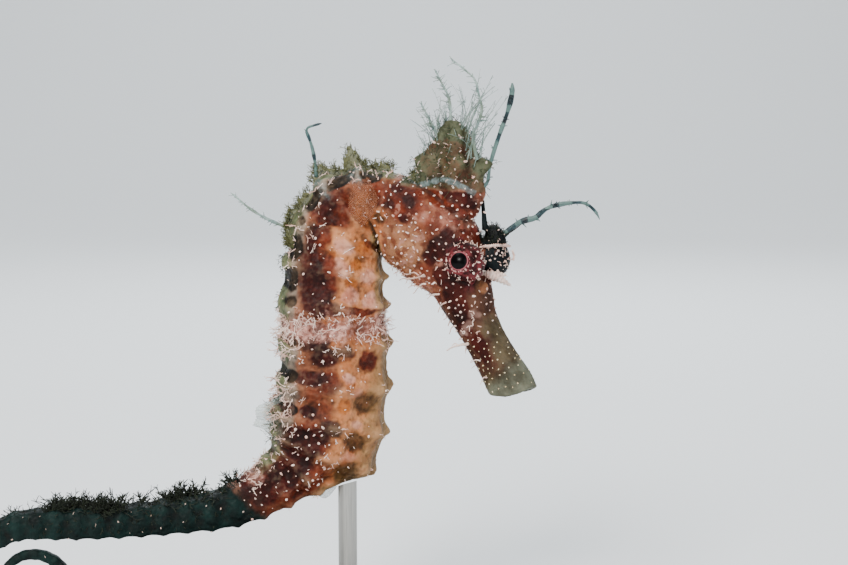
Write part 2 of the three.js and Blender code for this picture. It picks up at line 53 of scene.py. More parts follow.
# The midline as arcs: length, bend towards the belly, and the yaw of the body's plane at the far end.
ARCS = [(19.8, 0, 36), (7.8, 46.6, 25), (3.9, 8, 8), (5.8, 65, -6), (3.2, 19, -12), (9.3, 14, -16),
        (8.5, -5, -16), (8.6, -16, -16), (5.6, -37, -16), (12.5, -30, -16), (21.5, -8, -16)]
# The tail's end is a flat spiral, from its first radius to its last.
CURL = dict(turns=1.6, first=8.0, last=1.7, pieces=32, yaw=-8)
for _i in range(CURL["pieces"]):
    _r = CURL["first"] + (CURL["last"] - CURL["first"]) * (_i + 0.5) / CURL["pieces"]
    _bend = 360 * CURL["turns"] / CURL["pieces"]
    ARCS.append((_r * math.radians(_bend), _bend, CURL["yaw"]))

# Sizes round the midline: u, above it, below it, half-width.
GIRTH = np.array([
    (0, 3.2, 3.0, 2.1), (1.6, 3.2, 3.0, 2.1), (4.2, 2.6, 3.1, 1.9), (8.6, 1.7, 3.5, 2.0),
    (11, 1.6, 3.9, 2.3), (13, 2.2, 4.3, 2.7), (16, 2.8, 4.8, 3.3), (18.9, 3.4, 7.1, 3.8),
    (21.5, 4.3, 7.9, 4.1), (24.7, 4.6, 7.6, 4.3), (27.5, 4.4, 7.4, 4.4), (29.5, 4.7, 7.1, 4.4),
    (30.5, 5.0, 6.6, 4.3), (31.8, 5.1, 5.0, 4.3), (33.5, 6.0, 4.4, 4.3), (36, 7.3, 4.4, 4.4),
    (38, 7.2, 4.9, 4.5), (41, 7.2, 5.7, 4.7), (47, 7.3, 6.5, 5.1), (54, 7.3, 7.0, 5.5),
    (60.5, 7.5, 7.2, 5.7), (64.5, 7.7, 7.7, 5.6), (67, 7.2, 7.7, 5.2), (69.5, 6.6, 5.0, 4.5),
    (71.5, 5.8, 3.0, 3.9), (74, 5.2, 2.5, 3.4), (80, 3.5, 2.3, 2.8), (88, 2.5, 2.1, 2.3),
    (106, 1.95, 1.95, 1.95), (120, 1.5, 1.5, 1.5), (136, 0.95, 0.95, 0.95), (158, 0.4, 0.4, 0.4),
])
# The grooves between the body's rings: how many come before each, and where it lies.
GROOVES = np.array([
    (0, 30.5), (1, 32.6), (2, 34.6), (3, 37.2), (4, 41.1), (5, 45.2), (6, 50.4), (7, 55.6), (8, 61),
    (9, 65.6), (10, 69.6), (11, 73.2), (18, 95), (28, 119), (38, 137), (48, 150),
])
TRUNK_START, TAIL_START = 30.5, 73.2
STEP = 0.1


def walk(start, heading, yaw, arcs, step):
    """Places and directions (forward, belly, left) along a run of (length, bend, yaw) arcs."""
    out = []
    place = np.array(start, float)
    for length, bend, to_yaw in arcs:
        steps = max(round(length / step), 1)
        for i in range(steps):
            h, y = math.radians(heading), math.radians(yaw)
            level = np.array([math.cos(y), -math.sin(y), 0])
            forward = level * math.cos(h) + np.array([0, 0, math.sin(h)])
            belly = -level * math.sin(h) + np.array([0, 0, math.cos(h)])
            left = np.array([math.sin(y), math.cos(y), 0])
            out.append((place.copy(), forward, belly, left))
            place = place + forward * (length / steps)
            heading += bend / steps
            yaw += (to_yaw - yaw) / (steps - i)
    return [np.array(col) for col in zip(*out)]


PLACE, FORWARD, BELLY, LEFT = walk(MOUTH, FIRST_HEADING, FIRST_YAW, ARCS, STEP)
BODY_END = (len(PLACE) - 1) * STEP


def frame_at(u):
    """Interpolated place and directions for an array of distances."""
    at = np.clip(np.asarray(u, float) / STEP, 0, len(PLACE) - 1.001)
    i = np.floor(at).astype(int)
    t = (at - i)[..., None]
    return [a[i] * (1 - t) + a[i + 1] * t for a in (PLACE, FORWARD, BELLY, LEFT)]


def through(xs, ys):
    """A smooth, monotone curve through the rows (the same as in the solids)."""
    xs, ys = np.asarray(xs, float), np.asarray(ys, float)
    slopes = np.diff(ys) / np.diff(xs)
    before = np.concatenate([slopes[:1], slopes])
    after = np.concatenate([slopes, slopes[-1:]])
    with np.errstate(divide="ignore", invalid="ignore"):
        tangents = np.where(before * after <= 0, 0, 2 * before * after / (before + after))

    def value(x):
        x = np.clip(np.asarray(x, float), xs[0], xs[-1])
        i = np.clip(np.searchsorted(xs, x, side="right") - 1, 0, len(xs) - 2)
        span = xs[i + 1] - xs[i]
        t = (x - xs[i]) / span
        rise = ys[i + 1] - ys[i]
        bend0 = tangents[i] * span - rise
        bend1 = rise - tangents[i + 1] * span
        return ys[i] + t * rise + t * (1 - t) * ((1 - t) * bend0 + t * bend1)

    return value


back = through(GIRTH[:, 0], GIRTH[:, 1])
belly = through(GIRTH[:, 0], GIRTH[:, 2])
side = through(GIRTH[:, 0], GIRTH[:, 3])
ring_count = through(GROOVES[:, 1], GROOVES[:, 0])


def smooth(lo, hi, x):
    """Rises smoothly from 0 at lo to 1 at hi."""
    t = np.clip((np.asarray(x, float) - lo) / (hi - lo), 0, 1)
    return t * t * (3 - 2 * t)


def hump(x, width):
    """A bell curve, 1 at the middle."""
    return np.exp(-0.5 * (np.asarray(x, float) / width) ** 2)


def turn_between(a, b):
    """The angle from one direction to another, in degrees."""
    return np.abs((np.asarray(a, float) - b + 540) % 360 - 180)


# ---------------------------------------------------------------- relief of rings, ridges and folds

RIDGES = ((38, 1.0), (92, 0.0), (140, 1.0))  # angle from the back, and how much of it stays on the tail
WIDE_RIDGE, FINE_RIDGE, KNOB, KEEL = 13, 8, 6.5, 8  # half-widths round the body, in degrees
FOLD = dict(u=36, width=3.4)  # where the neck folds under itself, and the rings fade
# Heights on the trunk: a ridge's swell, its sharp crest, a knob, the keel, and the hollow between ridges.
SWELL_HIGH, CREST_HIGH, KNOB_HIGH, KEEL_HIGH, HOLLOW_DEEP = 0.32, 0.22, 0.7, 0.28, 0.9
BOXED = 0.3  # how square the plain head is


def ridge_field(u, phi, width):
    """How near a point lies to one of the body's long ridges: 1 on its crest."""
    on_tail = smooth(TAIL_START - 3, TAIL_START + 4, u)
    total = np.zeros(np.broadcast(u, phi).shape)
    for angle, kept in RIDGES:
        pair = hump(turn_between(phi, angle), width) + hump(turn_between(phi, -angle), width)
        total = total + (1 + (kept - 1) * on_tail) * pair
    total = total + (1 - on_tail) * hump(turn_between(phi, 180), width * 0.8)
    return np.minimum(total, 1)


def relief(u, phi):
    """The height of knobs and ridges over the plain girth, less the hollows between them."""
    on_tail = smooth(TAIL_START - 3, TAIL_START + 4, u)
    on_trunk = smooth(TRUNK_START - 1, TRUNK_START + 3, u)
    under = np.maximum(-np.cos(np.radians(phi)), 0)
    folded = under * hump(u - FOLD["u"], FOLD["width"])
    size = 1 + (np.clip(side(u) / 5.2, 0.1, 0.6) - 1) * on_tail
    size = size * on_trunk * (1 - folded)
    ring = 0.5 - 0.5 * np.cos(2 * np.pi * ring_count(u))
    wide = ridge_field(u, phi, WIDE_RIDGE)
    fine = ridge_field(u, phi, FINE_RIDGE)
    knob = ridge_field(u, phi, KNOB) * ring**5
    keel = (1 - on_tail) * hump(turn_between(phi, 180), KEEL)
    crest = SWELL_HIGH * wide + CREST_HIGH * fine * ring + KNOB_HIGH * knob + KEEL_HIGH * keel * ring**4
    hollow = HOLLOW_DEEP * (1 - wide) ** 1.5 * (1 - ring) ** 1.2 - 0.1 * ring * (1 - wide)
    boxed = BOXED * np.sin(np.radians(2 * phi)) ** 2 * (1 - on_trunk)
    return size * (crest - hollow) + boxed


def skin_point(u, phi, lift=0.0):
    """A point of the skin, or lifted off it, at the distance u and the angle phi."""
    u, phi = np.broadcast_arrays(np.asarray(u, float), np.asarray(phi, float))
    place, forward, down, left = frame_at(u)
    c, s = np.cos(np.radians(phi)), np.sin(np.radians(phi))
    deep = np.where(c > 0, back(u), belly(u))
    extra = relief(u, phi) + lift
    slant = ((1 - c) - 0.7 * s * s) * (1 - smooth(0, 4.5, u))
    return (
        place
        + forward * slant[..., None]
        - down * (c * (deep + extra))[..., None]
        + left * (s * (side(u) + extra))[..., None]
    )


def spot(u, up, out):
    """A place by the distance u, the height above the midline and the distance to the left."""
    place, _, down, left = frame_at(np.array([float(u)]))
    return place[0] - down[0] * up + left[0] * out


def axes_at(u):
    """The directions forward, up and left at the distance u."""
    _, forward, down, left = frame_at(np.array([float(u)]))
    return forward[0], -down[0], left[0]


def eased(knots, count, rounds):
    """A path of count points through knots (u, up, out), its corners rounded off."""
    knots = np.array([spot(*knot) for knot in knots])
    at, fine = np.arange(len(knots)), np.linspace(0, len(knots) - 1, count)
    path = np.stack([np.interp(fine, at, knots[:, k]) for k in range(3)], 1)
    for _ in range(rounds):
        path[1:-1] = (path[:-2] + 2 * path[1:-1] + path[2:]) / 4
    return path


def unit(vector, guard=0.0):
    return vector / (np.linalg.norm(vector) + guard)


def square_to(axis, hint):
    """Two directions at right angles to an axis."""
    a = unit(np.cross(axis, hint))
    return a, np.cross(axis, a)


# ---------------------------------------------------------------- mesh tools


def place_in_scene(name, data):
    obj = bpy.data.objects.new(name, data)
    bpy.context.scene.collection.objects.link(obj)
    return obj


def mesh_object(name, points, faces, uv=None):
    mesh = bpy.data.meshes.new(name)
    mesh.from_pydata((np.asarray(points) * MM).tolist(), [], [list(map(int, f)) for f in faces])
    if uv is not None:
        layer = mesh.uv_layers.new(name="OFBake")
        corner = np.empty(len(mesh.loops), dtype=np.int32)
        mesh.loops.foreach_get("vertex_index", corner)
        layer.data.foreach_set("uv", np.asarray(uv, dtype=np.float32)[corner].ravel())
    mesh.polygons.foreach_set("use_smooth", [True] * len(mesh.polygons))
    mesh.update()
    return place_in_scene(name, mesh)


def add_attribute(obj, name, values):
    layer = obj.data.attributes.new(name, "FLOAT", "POINT")
    layer.data.foreach_set("value", np.asarray(values, dtype=np.float32))


def face_outwards(obj, merge=None):
    """Turns all faces outwards, after joining vertices closer than merge."""
    bm = bmesh.new()
    bm.from_mesh(obj.data)
    if merge:
        bmesh.ops.remove_doubles(bm, verts=bm.verts, dist=merge)
    bmesh.ops.recalc_face_normals(bm, faces=bm.faces)
    bm.to_mesh(obj.data)
    bm.free()


def dress(obj, material, slot, *stands_for):
    """Gives a finished piece its material and its body, and hides the nodes that it stands for. The slot is
    not used.
    """
    obj.data.materials.append(material)
    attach(obj, "root")
    if stands_for:
        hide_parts(*stands_for)


def tube_faces(rows, count, close_ends=True):
    """The faces of a tube whose points come in rows round it."""
    faces = []
    for i in range(rows - 1):
        for j in range(count):
            a, b = i * count + j, i * count + (j + 1) % count
            faces.append((a, b, b + count, a + count))
    if close_ends:
        faces.append(list(range(count))[::-1])
        faces.append([(rows - 1) * count + j for j in range(count)])
    return faces


def slab_faces(rows, columns):
    """The faces of a thin slab: two grids of points, one for each side, closed round their rim."""
    half = (rows + 1) * columns
    faces = []
    for face in (0, 1):
        for r in range(rows):
            for c in range(columns - 1):
                a = face * half + r * columns + c
                quad = (a, a + 1, a + columns + 1, a + columns)
                faces.append(quad if face else quad[::-1])
    loop = list(range(columns)) + [r * columns + columns - 1 for r in range(1, rows + 1)]
    loop += [rows * columns + c for c in range(columns - 2, -1, -1)]
    loop += [r * columns for r in range(rows - 1, 0, -1)]
    for a, b in zip(loop, loop[1:] + loop[:1]):
        faces.append((a, b, half + b, half + a))
    return faces


def tube(path, radii, sides=6, flat=1.0, across=None):
    """A tapering tube round a path; flat squeezes it along one direction."""
    path = np.asarray(path, float)
    radii = np.broadcast_to(np.asarray(radii, float), (len(path),))
    ahead = np.gradient(path, axis=0)
    ahead /= np.linalg.norm(ahead, axis=1, keepdims=True) + 1e-9
    guess = np.array([0.31, 0.83, 0.46]) if across is None else np.asarray(across, float)
    points = []
    for p, t, r in zip(path, ahead, radii):
        a = unit(guess - t * (guess @ t), 1e-9)
        b = np.cross(t, a)
        for j in range(sides):
            w = 2 * math.pi * j / sides
            points.append(p + r * (flat * math.cos(w) * a + math.sin(w) * b))
        guess = a
    return np.array(points), tube_faces(len(path), sides)


def thread(path, thick, tip, sides=4):
    """A round thread that tapers along a path."""
    return tube(path, np.linspace(thick, tip, len(path)), sides=sides)


class Heap:
    """Many small solids gathered into one mesh."""

    def __init__(self):
        self.points, self.faces, self.uv, self.tone, self.total = [], [], [], [], 0

    def add(self, points, faces, root_uv=(0.5, 0.5), tone=0.0):
        points = np.asarray(points)
        self.points.append(points)
        self.faces.extend([[int(v) + self.total for v in f] for f in faces])
        local = points - points.mean(0)
        reach = np.abs(local).max() + 1e-6
        patch = np.stack([local[:, 0] + 0.3 * local[:, 1], local[:, 2] + 0.3 * local[:, 1]], 1) / reach
        self.uv.append(np.asarray(root_uv) + 0.0012 * patch)
        self.tone.append(np.broadcast_to(np.asarray(tone, float), (len(points),)))
        self.total += len(points)

    def build(self, name):
        obj = mesh_object(name, np.concatenate(self.points), self.faces, np.concatenate(self.uv))
        add_attribute(obj, "tone", np.concatenate(self.tone))
        return obj


def ball(centre, axes, radii, detail):
    bm = bmesh.new()
    bmesh.ops.create_icosphere(bm, subdivisions=detail, radius=1)
    local = np.array([v.co[:] for v in bm.verts])
    faces = [[v.index for v in f.verts] for f in bm.faces]
    bm.free()
    return centre + (local * np.asarray(radii)) @ np.array(axes), faces


# ---------------------------------------------------------------- the skin's pieces, and the skin

# Places on the head: distance along the midline, height above it and distance out to the side.
EYE = dict(u=17.5, up=3.3, out=4.0, radius=1.7)
TURRET = dict(out=2.9, radii=(2.55, 2.3, 2.35))
GILL = dict(u=25.6, up=-2.2, out=2.0, radii=(4.4, 4.1, 2.9))
LEFT_SPINE = (20.5, 4.6, 2.0, 98, 4.3, 0.5)  # u, up, out, heading, length, thickness
RIGHT_SPINE = (21.0, 4.2, -2.4, 98, 1.6, 0.5)
BROW_LOBE = (19.6, 4.7, 3.3)
BROW_LOBE_RADII = (2.0, 1.4, 1.2)
# The two folds round an eye: place along its axis, radius, thickness, wobble and phase.
LIDS = ((0.72, 1.5, 0.28, 0.05, 0), (-0.1, 1.85, 0.34, 0.1, 1))
# Small lumps as (u, up, out) and half-sizes. These three stand on both sides: cheek ridge, nostril rim and
# a knob low behind the gill cover.
SIDE_LUMPS = (((20.9, 0.6, 3.5), (1.5, 1.1, 0.75)), ((15.2, 2.6, 2.3), (0.5, 0.45, 0.45)),
              ((28.6, -4.6, 2.9), (0.9, 0.7, 1.0)))
SIDE_LUMPS_TURN = 20.5  # the u whose directions they take
NOSE_BUMP = ((14.1, 2.5, -0.7), (0.9, 0.85, 0.8))
CROWN_KNOBS = ((22.6, 4.5, -1.0), (23.9, 4.6, -1.6), (23.0, 4.4, 1.4))
CROWN_KNOB_RADII = (0.9, 0.8, 0.8)
LIPS = ((0.04, -0.75), (0.22, -0.85), (0.42, -0.5), (0.62, -0.05), (0.8, 0.2), (0.93, 0.2))  # width, way out
SPINE_YAW, SPINE_BEND = 30, -6
VOXEL = 0.19  # of the grid that joins the skin's pieces


def body_tube():
    """The closed body, from inside the lips to the tail's tip."""
    us = np.concatenate([np.arange(0, 42, 0.2), np.arange(42, BODY_END, 0.25)])  # closer over head and neck
    phis = np.arange(0, 360, 3.0)
    grid = skin_point(us[:, None], phis[None, :])
    rim, tip = grid[0], grid[-1]
    middle, ahead = rim.mean(0), -FORWARD[0]
    lips = [middle + (rim - middle) * share + ahead * out for share, out in LIPS]
    ends = [tip.mean(0) + (tip - tip.mean(0)) * s + FORWARD[-1] * o for s, o in ((0.8, 0.15), (0.4, 0.28))]
    points = np.concatenate([np.concatenate(lips), grid.reshape(-1, 3), np.concatenate(ends)])
    return points, tube_faces(len(lips) + len(us) + len(ends), len(phis))


def eye_place(hand):
    return spot(EYE["u"], EYE["up"], hand * EYE["out"])


def eye_axis(hand):
    """Which way an eye looks: out to its side. The near eye's direction follows the photograph."""
    forward, up, left = axes_at(EYE["u"])
    return unit(np.array([-0.31, -0.9, 0.27]) if hand < 0 else left * 0.86 - forward * 0.22 + up * 0.2)


def ring_round(centre, axis, radius, thick, wobble, seed):
    """A thick fold of skin round an eye."""
    a, b = square_to(axis, [0.2, 0.1, 0.97])
    rows, sides = 40, 10
    points, faces = [], []
    for i in range(rows):
        w = 2 * math.pi * i / rows
        r = radius + wobble * math.sin(3 * w + seed)
        t = thick * (1 + 0.25 * math.sin(5 * w + seed))
        out = math.cos(w) * a + math.sin(w) * b
        for j in range(sides):
            q = 2 * math.pi * j / sides
            points.append(centre + out * (r + t * math.cos(q)) + axis * t * math.sin(q))
            k, m = (i + 1) % rows, (j + 1) % sides
            faces.append((i * sides + j, i * sides + m, k * sides + m, k * sides + j))
    return np.array(points), faces


# The coronet's outline at heights over its root: half-length, half-width, shift forwards and lobe depth.
CORONET_LEVELS = np.array([
    (-4.4, 1.1, 0.6, 1.8, 0.0), (-3.0, 2.1, 1.2, 1.3, 0.0), (-1.6, 3.5, 2.1, 0.8, 0.03),
    (1.0, 4.3, 2.3, 0.4, 0.07), (2.8, 4.3, 2.0, 0.3, 0.12), (4.6, 4.5, 2.0, 0.2, 0.24),
    (5.4, 3.6, 1.5, 0.1, 0.2), (7.0, 2.6, 1.1, 0.3, 0.15), (8.6, 1.9, 0.8, 0.3, 0.12),
    (9.7, 0.8, 0.4, 0.1, 0.05),
])
CORONET = dict(u=24.8, heading=87, yaw=26)
CORONET_WIDTHS = [through(CORONET_LEVELS[:, 0], CORONET_LEVELS[:, k]) for k in range(1, 5)]


def coronet_frame():
    """The coronet's root and its directions up, back and left."""
    start = skin_point(CORONET["u"], 0.0)
    _, forward, down, left = walk(start, CORONET["heading"], CORONET["yaw"], [(1, 0, CORONET["yaw"])], 1)
    return start, forward[0], down[0], left[0]


def coronet_piece():
    start, upward, down, left = coronet_frame()
    highs = np.linspace(CORONET_LEVELS[0, 0], CORONET_LEVELS[-1, 0], 56)
    cols = [width(highs) for width in CORONET_WIDTHS]
    sides = 72
    points = []
    for i, high in enumerate(highs):
        long, wide, shift, lobe = (col[i] for col in cols)
        for j in range(sides):
            w = 2 * math.pi * j / sides
            rough = noise.noise(Vector((2.2 * math.cos(w), 2.2 * math.sin(w), high * 0.55)))
            rough += 0.5 * noise.noise(Vector((6 * math.cos(w), 6 * math.sin(w), high * 1.3)))
            reach = 1 + lobe * math.cos(5 * w) + 0.13 * rough
            lifted = 0.35 * noise.noise(Vector((3 * math.cos(w), 3 * math.sin(w), 7.1))) * smooth(3, 8, high)
            p = start + upward * (high + lifted) - down * (shift + long * reach * math.cos(w))
            points.append(p + left * wide * reach * math.sin(w))
    return np.array(points), tube_faces(len(highs), sides)


# One half of the pale fold round the coronet's root: knots (u, up, out).
CROWN_BAND = ((28.8, 4.4, 0.6), (26.8, 4.7, 2.0), (26.0, 6.0, 1.9), (25.2, 6.8, 2.1), (24.4, 7.2, 1.9),
              (23.6, 7.4, 1.5), (23.1, 7.4, 0.5))


def crown_band():
    """The path of that fold, from behind the coronet on one side to behind it on the other."""
    return eased([(u, up, -out) for u, up, out in CROWN_BAND] + list(CROWN_BAND[::-1]), 90, 4)


def spine_path(u, up, out, heading, length, step):
    return walk(spot(u, up, out), heading, SPINE_YAW, [(length, SPINE_BEND, SPINE_YAW)], step)[0]


def small_spine(u, up, out, heading, length, thick):
    path = spine_path(u, up, out, heading, length, 0.2)
    return tube(path, thick * (1 - 0.5 * np.linspace(0, 1, len(path))), sides=10)


def lump(place, radii, turned_as=None, detail=3):
    """An ellipsoid at (u, up, out), turned as the head is there or at another u."""
    return ball(spot(*place), axes_at(place[0] if turned_as is None else turned_as), radii, detail)


def skin_pieces():
    """The closed pieces that are joined into one skin."""
    pieces = [body_tube()]
    for hand in (1, -1):
        pieces.append(lump((EYE["u"], EYE["up"], hand * TURRET["out"]), TURRET["radii"], detail=4))
        eye, axis = eye_place(hand), eye_axis(hand)
        for out, radius, thick, wobble, phase in LIDS:
            pieces.append(ring_round(eye + axis * out, axis, radius, thick, wobble, hand + phase))
        pieces.append(lump((GILL["u"], GILL["up"], hand * GILL["out"]), GILL["radii"], detail=4))
        for (u, up, out), radii in SIDE_LUMPS:
            pieces.append(lump((u, up, hand * out), radii, SIDE_LUMPS_TURN))
    pieces += [lump(*NOSE_BUMP), lump(BROW_LOBE, BROW_LOBE_RADII)]
    pieces += [small_spine(*LEFT_SPINE), small_spine(*RIGHT_SPINE)]
    pieces += [lump(place, CROWN_KNOB_RADII) for place in CROWN_KNOBS]
    fold = crown_band()
    ends = np.minimum(np.arange(len(fold)), np.arange(len(fold))[::-1]) / 14.0
    pieces += [coronet_piece(), tube(fold, 0.25 * np.clip(0.35 + 0.65 * ends, 0, 1), sides=8)]
    return pieces


def build_skin():
    """One closed skin: its pieces joined on a fine grid, without loose bits inside, and ironed out."""
    all_points, all_faces, total = [], [], 0
    for points, faces in skin_pieces():
        all_points.append(points)
        all_faces.extend([[int(v) + total for v in f] for f in faces])
        total += len(points)
    raw = bpy.data.meshes.new("raw")
    raw.from_pydata(np.concatenate(all_points).tolist(), [], all_faces)
    raw.update()
    obj = place_in_scene("skin", raw)
    mod = obj.modifiers.new("join", "REMESH")
    mod.mode = "VOXEL"
    mod.voxel_size = VOXEL
    mod.adaptivity = 0
    deps = bpy.context.evaluated_depsgraph_get()
    joined = bpy.data.meshes.new_from_object(obj.evaluated_get(deps))
    obj.modifiers.clear()
    obj.data = joined
    joined.name = "skin"
    bpy.data.meshes.remove(raw)

    bm = bmesh.new()
    bm.from_mesh(joined)
    keep_largest(bm)
    for _ in range(3):
        bmesh.ops.smooth_vert(bm, verts=bm.verts, factor=0.5,
                              use_axis_x=True, use_axis_y=True, use_axis_z=True)
    bm.to_mesh(joined)
    bm.free()
    joined.polygons.foreach_set("use_smooth", [True] * len(joined.polygons))
    return obj


def keep_largest(bm):
    """Deletes every part of the mesh but the one with most vertices."""
    bm.verts.ensure_lookup_table()
    seen, groups = set(), []
    for v in bm.verts:
        if v.index in seen:
            continue
        stack, group = [v], []
        seen.add(v.index)
        while stack:
            w = stack.pop()
            group.append(w)
            for e in w.link_edges:
                o = e.other_vert(w)
                if o.index not in seen:
                    seen.add(o.index)
                    stack.append(o)
        groups.append(group)
    groups.sort(key=len)
    doomed = [v for group in groups[:-1] for v in group]
    if doomed:
        bmesh.ops.delete(bm, geom=doomed, context="VERTS")


def vertex_vectors(obj, key):
    """The vertices' places ("co") or normals ("normal") as rows."""
    flat = np.empty(len(obj.data.vertices) * 3, dtype=np.float32)
    obj.data.vertices.foreach_get(key, flat)
    return flat.reshape(-1, 3).astype(float)


def move_vertices(obj, points):
    obj.data.vertices.foreach_set("co", points.astype(np.float32).ravel())
    obj.data.update()


def noise_at(points, scale, shift=(0, 0, 0)):
    """Smooth noise at each point."""
    return np.array([noise.noise(Vector(q) * scale + Vector(shift)) for q in points])


def neighbour_mean(obj, count):
    """A function that gives each vertex the mean of its neighbours' values."""
    ends = np.empty(len(obj.data.edges) * 2, dtype=np.int32)
    obj.data.edges.foreach_get("vertices", ends)
    a, b = ends.reshape(-1, 2).T
    degree = np.maximum(np.bincount(ends, minlength=count), 1)

    def around(values):
        sums = [np.bincount(a, col[b], count) + np.bincount(b, col[a], count) for col in values.T]
        return np.stack(sums, 1) / degree[:, None]

    return around


def body_coordinates(points, around):
    """For each point, the distance along the midline, the angle round it, and the height above it."""
    us = np.arange(0, BODY_END, 0.3)  # the nearest point of this grid gives a first answer
    phis = np.arange(0, 360, 5.0)
    grid = skin_point(us[:, None], phis[None, :]).reshape(-1, 3)
    tree = kdtree.KDTree(len(grid))
    for i, p in enumerate(grid):
        tree.insert(p, i)
    tree.balance()
    near = np.array([tree.find(p)[1] for p in points])
    turn = np.radians(phis[near % len(phis)])
    values = np.stack([us[near // len(phis)], np.cos(turn), np.sin(turn)], 1)
    for _ in range(5):  # which its neighbours smooth
        values = around(values)
    u = values[:, 0]
    phi = np.degrees(np.arctan2(values[:, 2], values[:, 1])) % 360
    place, _, down, _ = frame_at(u)
    return u, phi, -((points - place) * down).sum(1)


# ---------------------------------------------------------------- materials


class Nodes:
    """A short way to write a node tree."""

    def __init__(self, name, **shader_inputs):
        self.material = bpy.data.materials.new(name)
        self.material.use_nodes = True
        self.tree = self.material.node_tree
        self.tree.nodes.clear()
        self.shader = self.node("ShaderNodeBsdfPrincipled")
        out = self.node("ShaderNodeOutputMaterial")
        self.tree.links.new(self.shader.outputs[0], out.inputs["Surface"])
        self.shade(**shader_inputs)

    def put(self, socket, value):
        if isinstance(value, bpy.types.NodeSocket):
            self.tree.links.new(value, socket)
        else:
            socket.default_value = value

    def node(self, kind, **inputs):
        """A node; each underscore in an input's name stands for a space."""
        made = self.tree.nodes.new(kind)
        for key, value in inputs.items():
            self.put(made.inputs[key.replace("_", " ")], value)
        return made

    def shade(self, **inputs):
        for key, value in inputs.items():
            self.put(self.shader.inputs[key.replace("_", " ")], value)

    def attribute(self, name):
        made = self.node("ShaderNodeAttribute")
        made.attribute_name = name
        return made.outputs["Fac"]

    def math(self, operation, a, b, clamp=False):
        made = self.node("ShaderNodeMath")
        made.operation, made.use_clamp = operation, clamp
        self.put(made.inputs[0], a)
        self.put(made.inputs[1], b)
        return made.outputs[0]

    def times(self, a, b, clamp=False):
        return self.math("MULTIPLY", a, b, clamp)

    def plus(self, a, b):
        return self.math("ADD", a, b)

    def ramp(self, value, low, high):
        """Rises smoothly from 0 at low to 1 at high."""
        made = self.node("ShaderNodeMapRange", Value=value, From_Min=low, From_Max=high)
        made.interpolation_type = "SMOOTHSTEP"
        return made.outputs[0]

    def mix(self, share, a, b):
        """Colour a, with the given share of colour b."""
        made = self.node("ShaderNodeMix")
        made.data_type = "RGBA"
        self.put(made.inputs[0], share)
        for socket, value in ((made.inputs[6], a), (made.inputs[7], b)):
            self.put(socket, rgb(value) if isinstance(value, str) else value)
        return made.outputs[2]

    def place(self):
        return self.node("ShaderNodeTexCoord").outputs["Object"]

    def noise(self, scale, detail=3.0, roughness=0.55, distortion=0.0):
        made = self.node("ShaderNodeTexNoise", Vector=self.place(), Scale=scale, Detail=detail,
                         Roughness=roughness, Distortion=distortion)
        return made.outputs["Fac"]

    def cells(self, scale):
        return self.node("ShaderNodeTexVoronoi", Vector=self.place(), Scale=scale).outputs["Distance"]

    def bump(self, height, strength, distance):
        made = self.node("ShaderNodeBump", Strength=strength, Distance=distance, Height=height)
        self.shade(Normal=made.outputs[0])


def rgb(value):
    """A hex string of sRGB as linear colour."""
    parts = [int(value[i : i + 2], 16) for i in (1, 3, 5)]
    lin = [((c / 255 + 0.055) / 1.055) ** 2.4 if c > 10.3 else c / 255 / 12.92 for c in parts]
    return (*lin, 1.0)


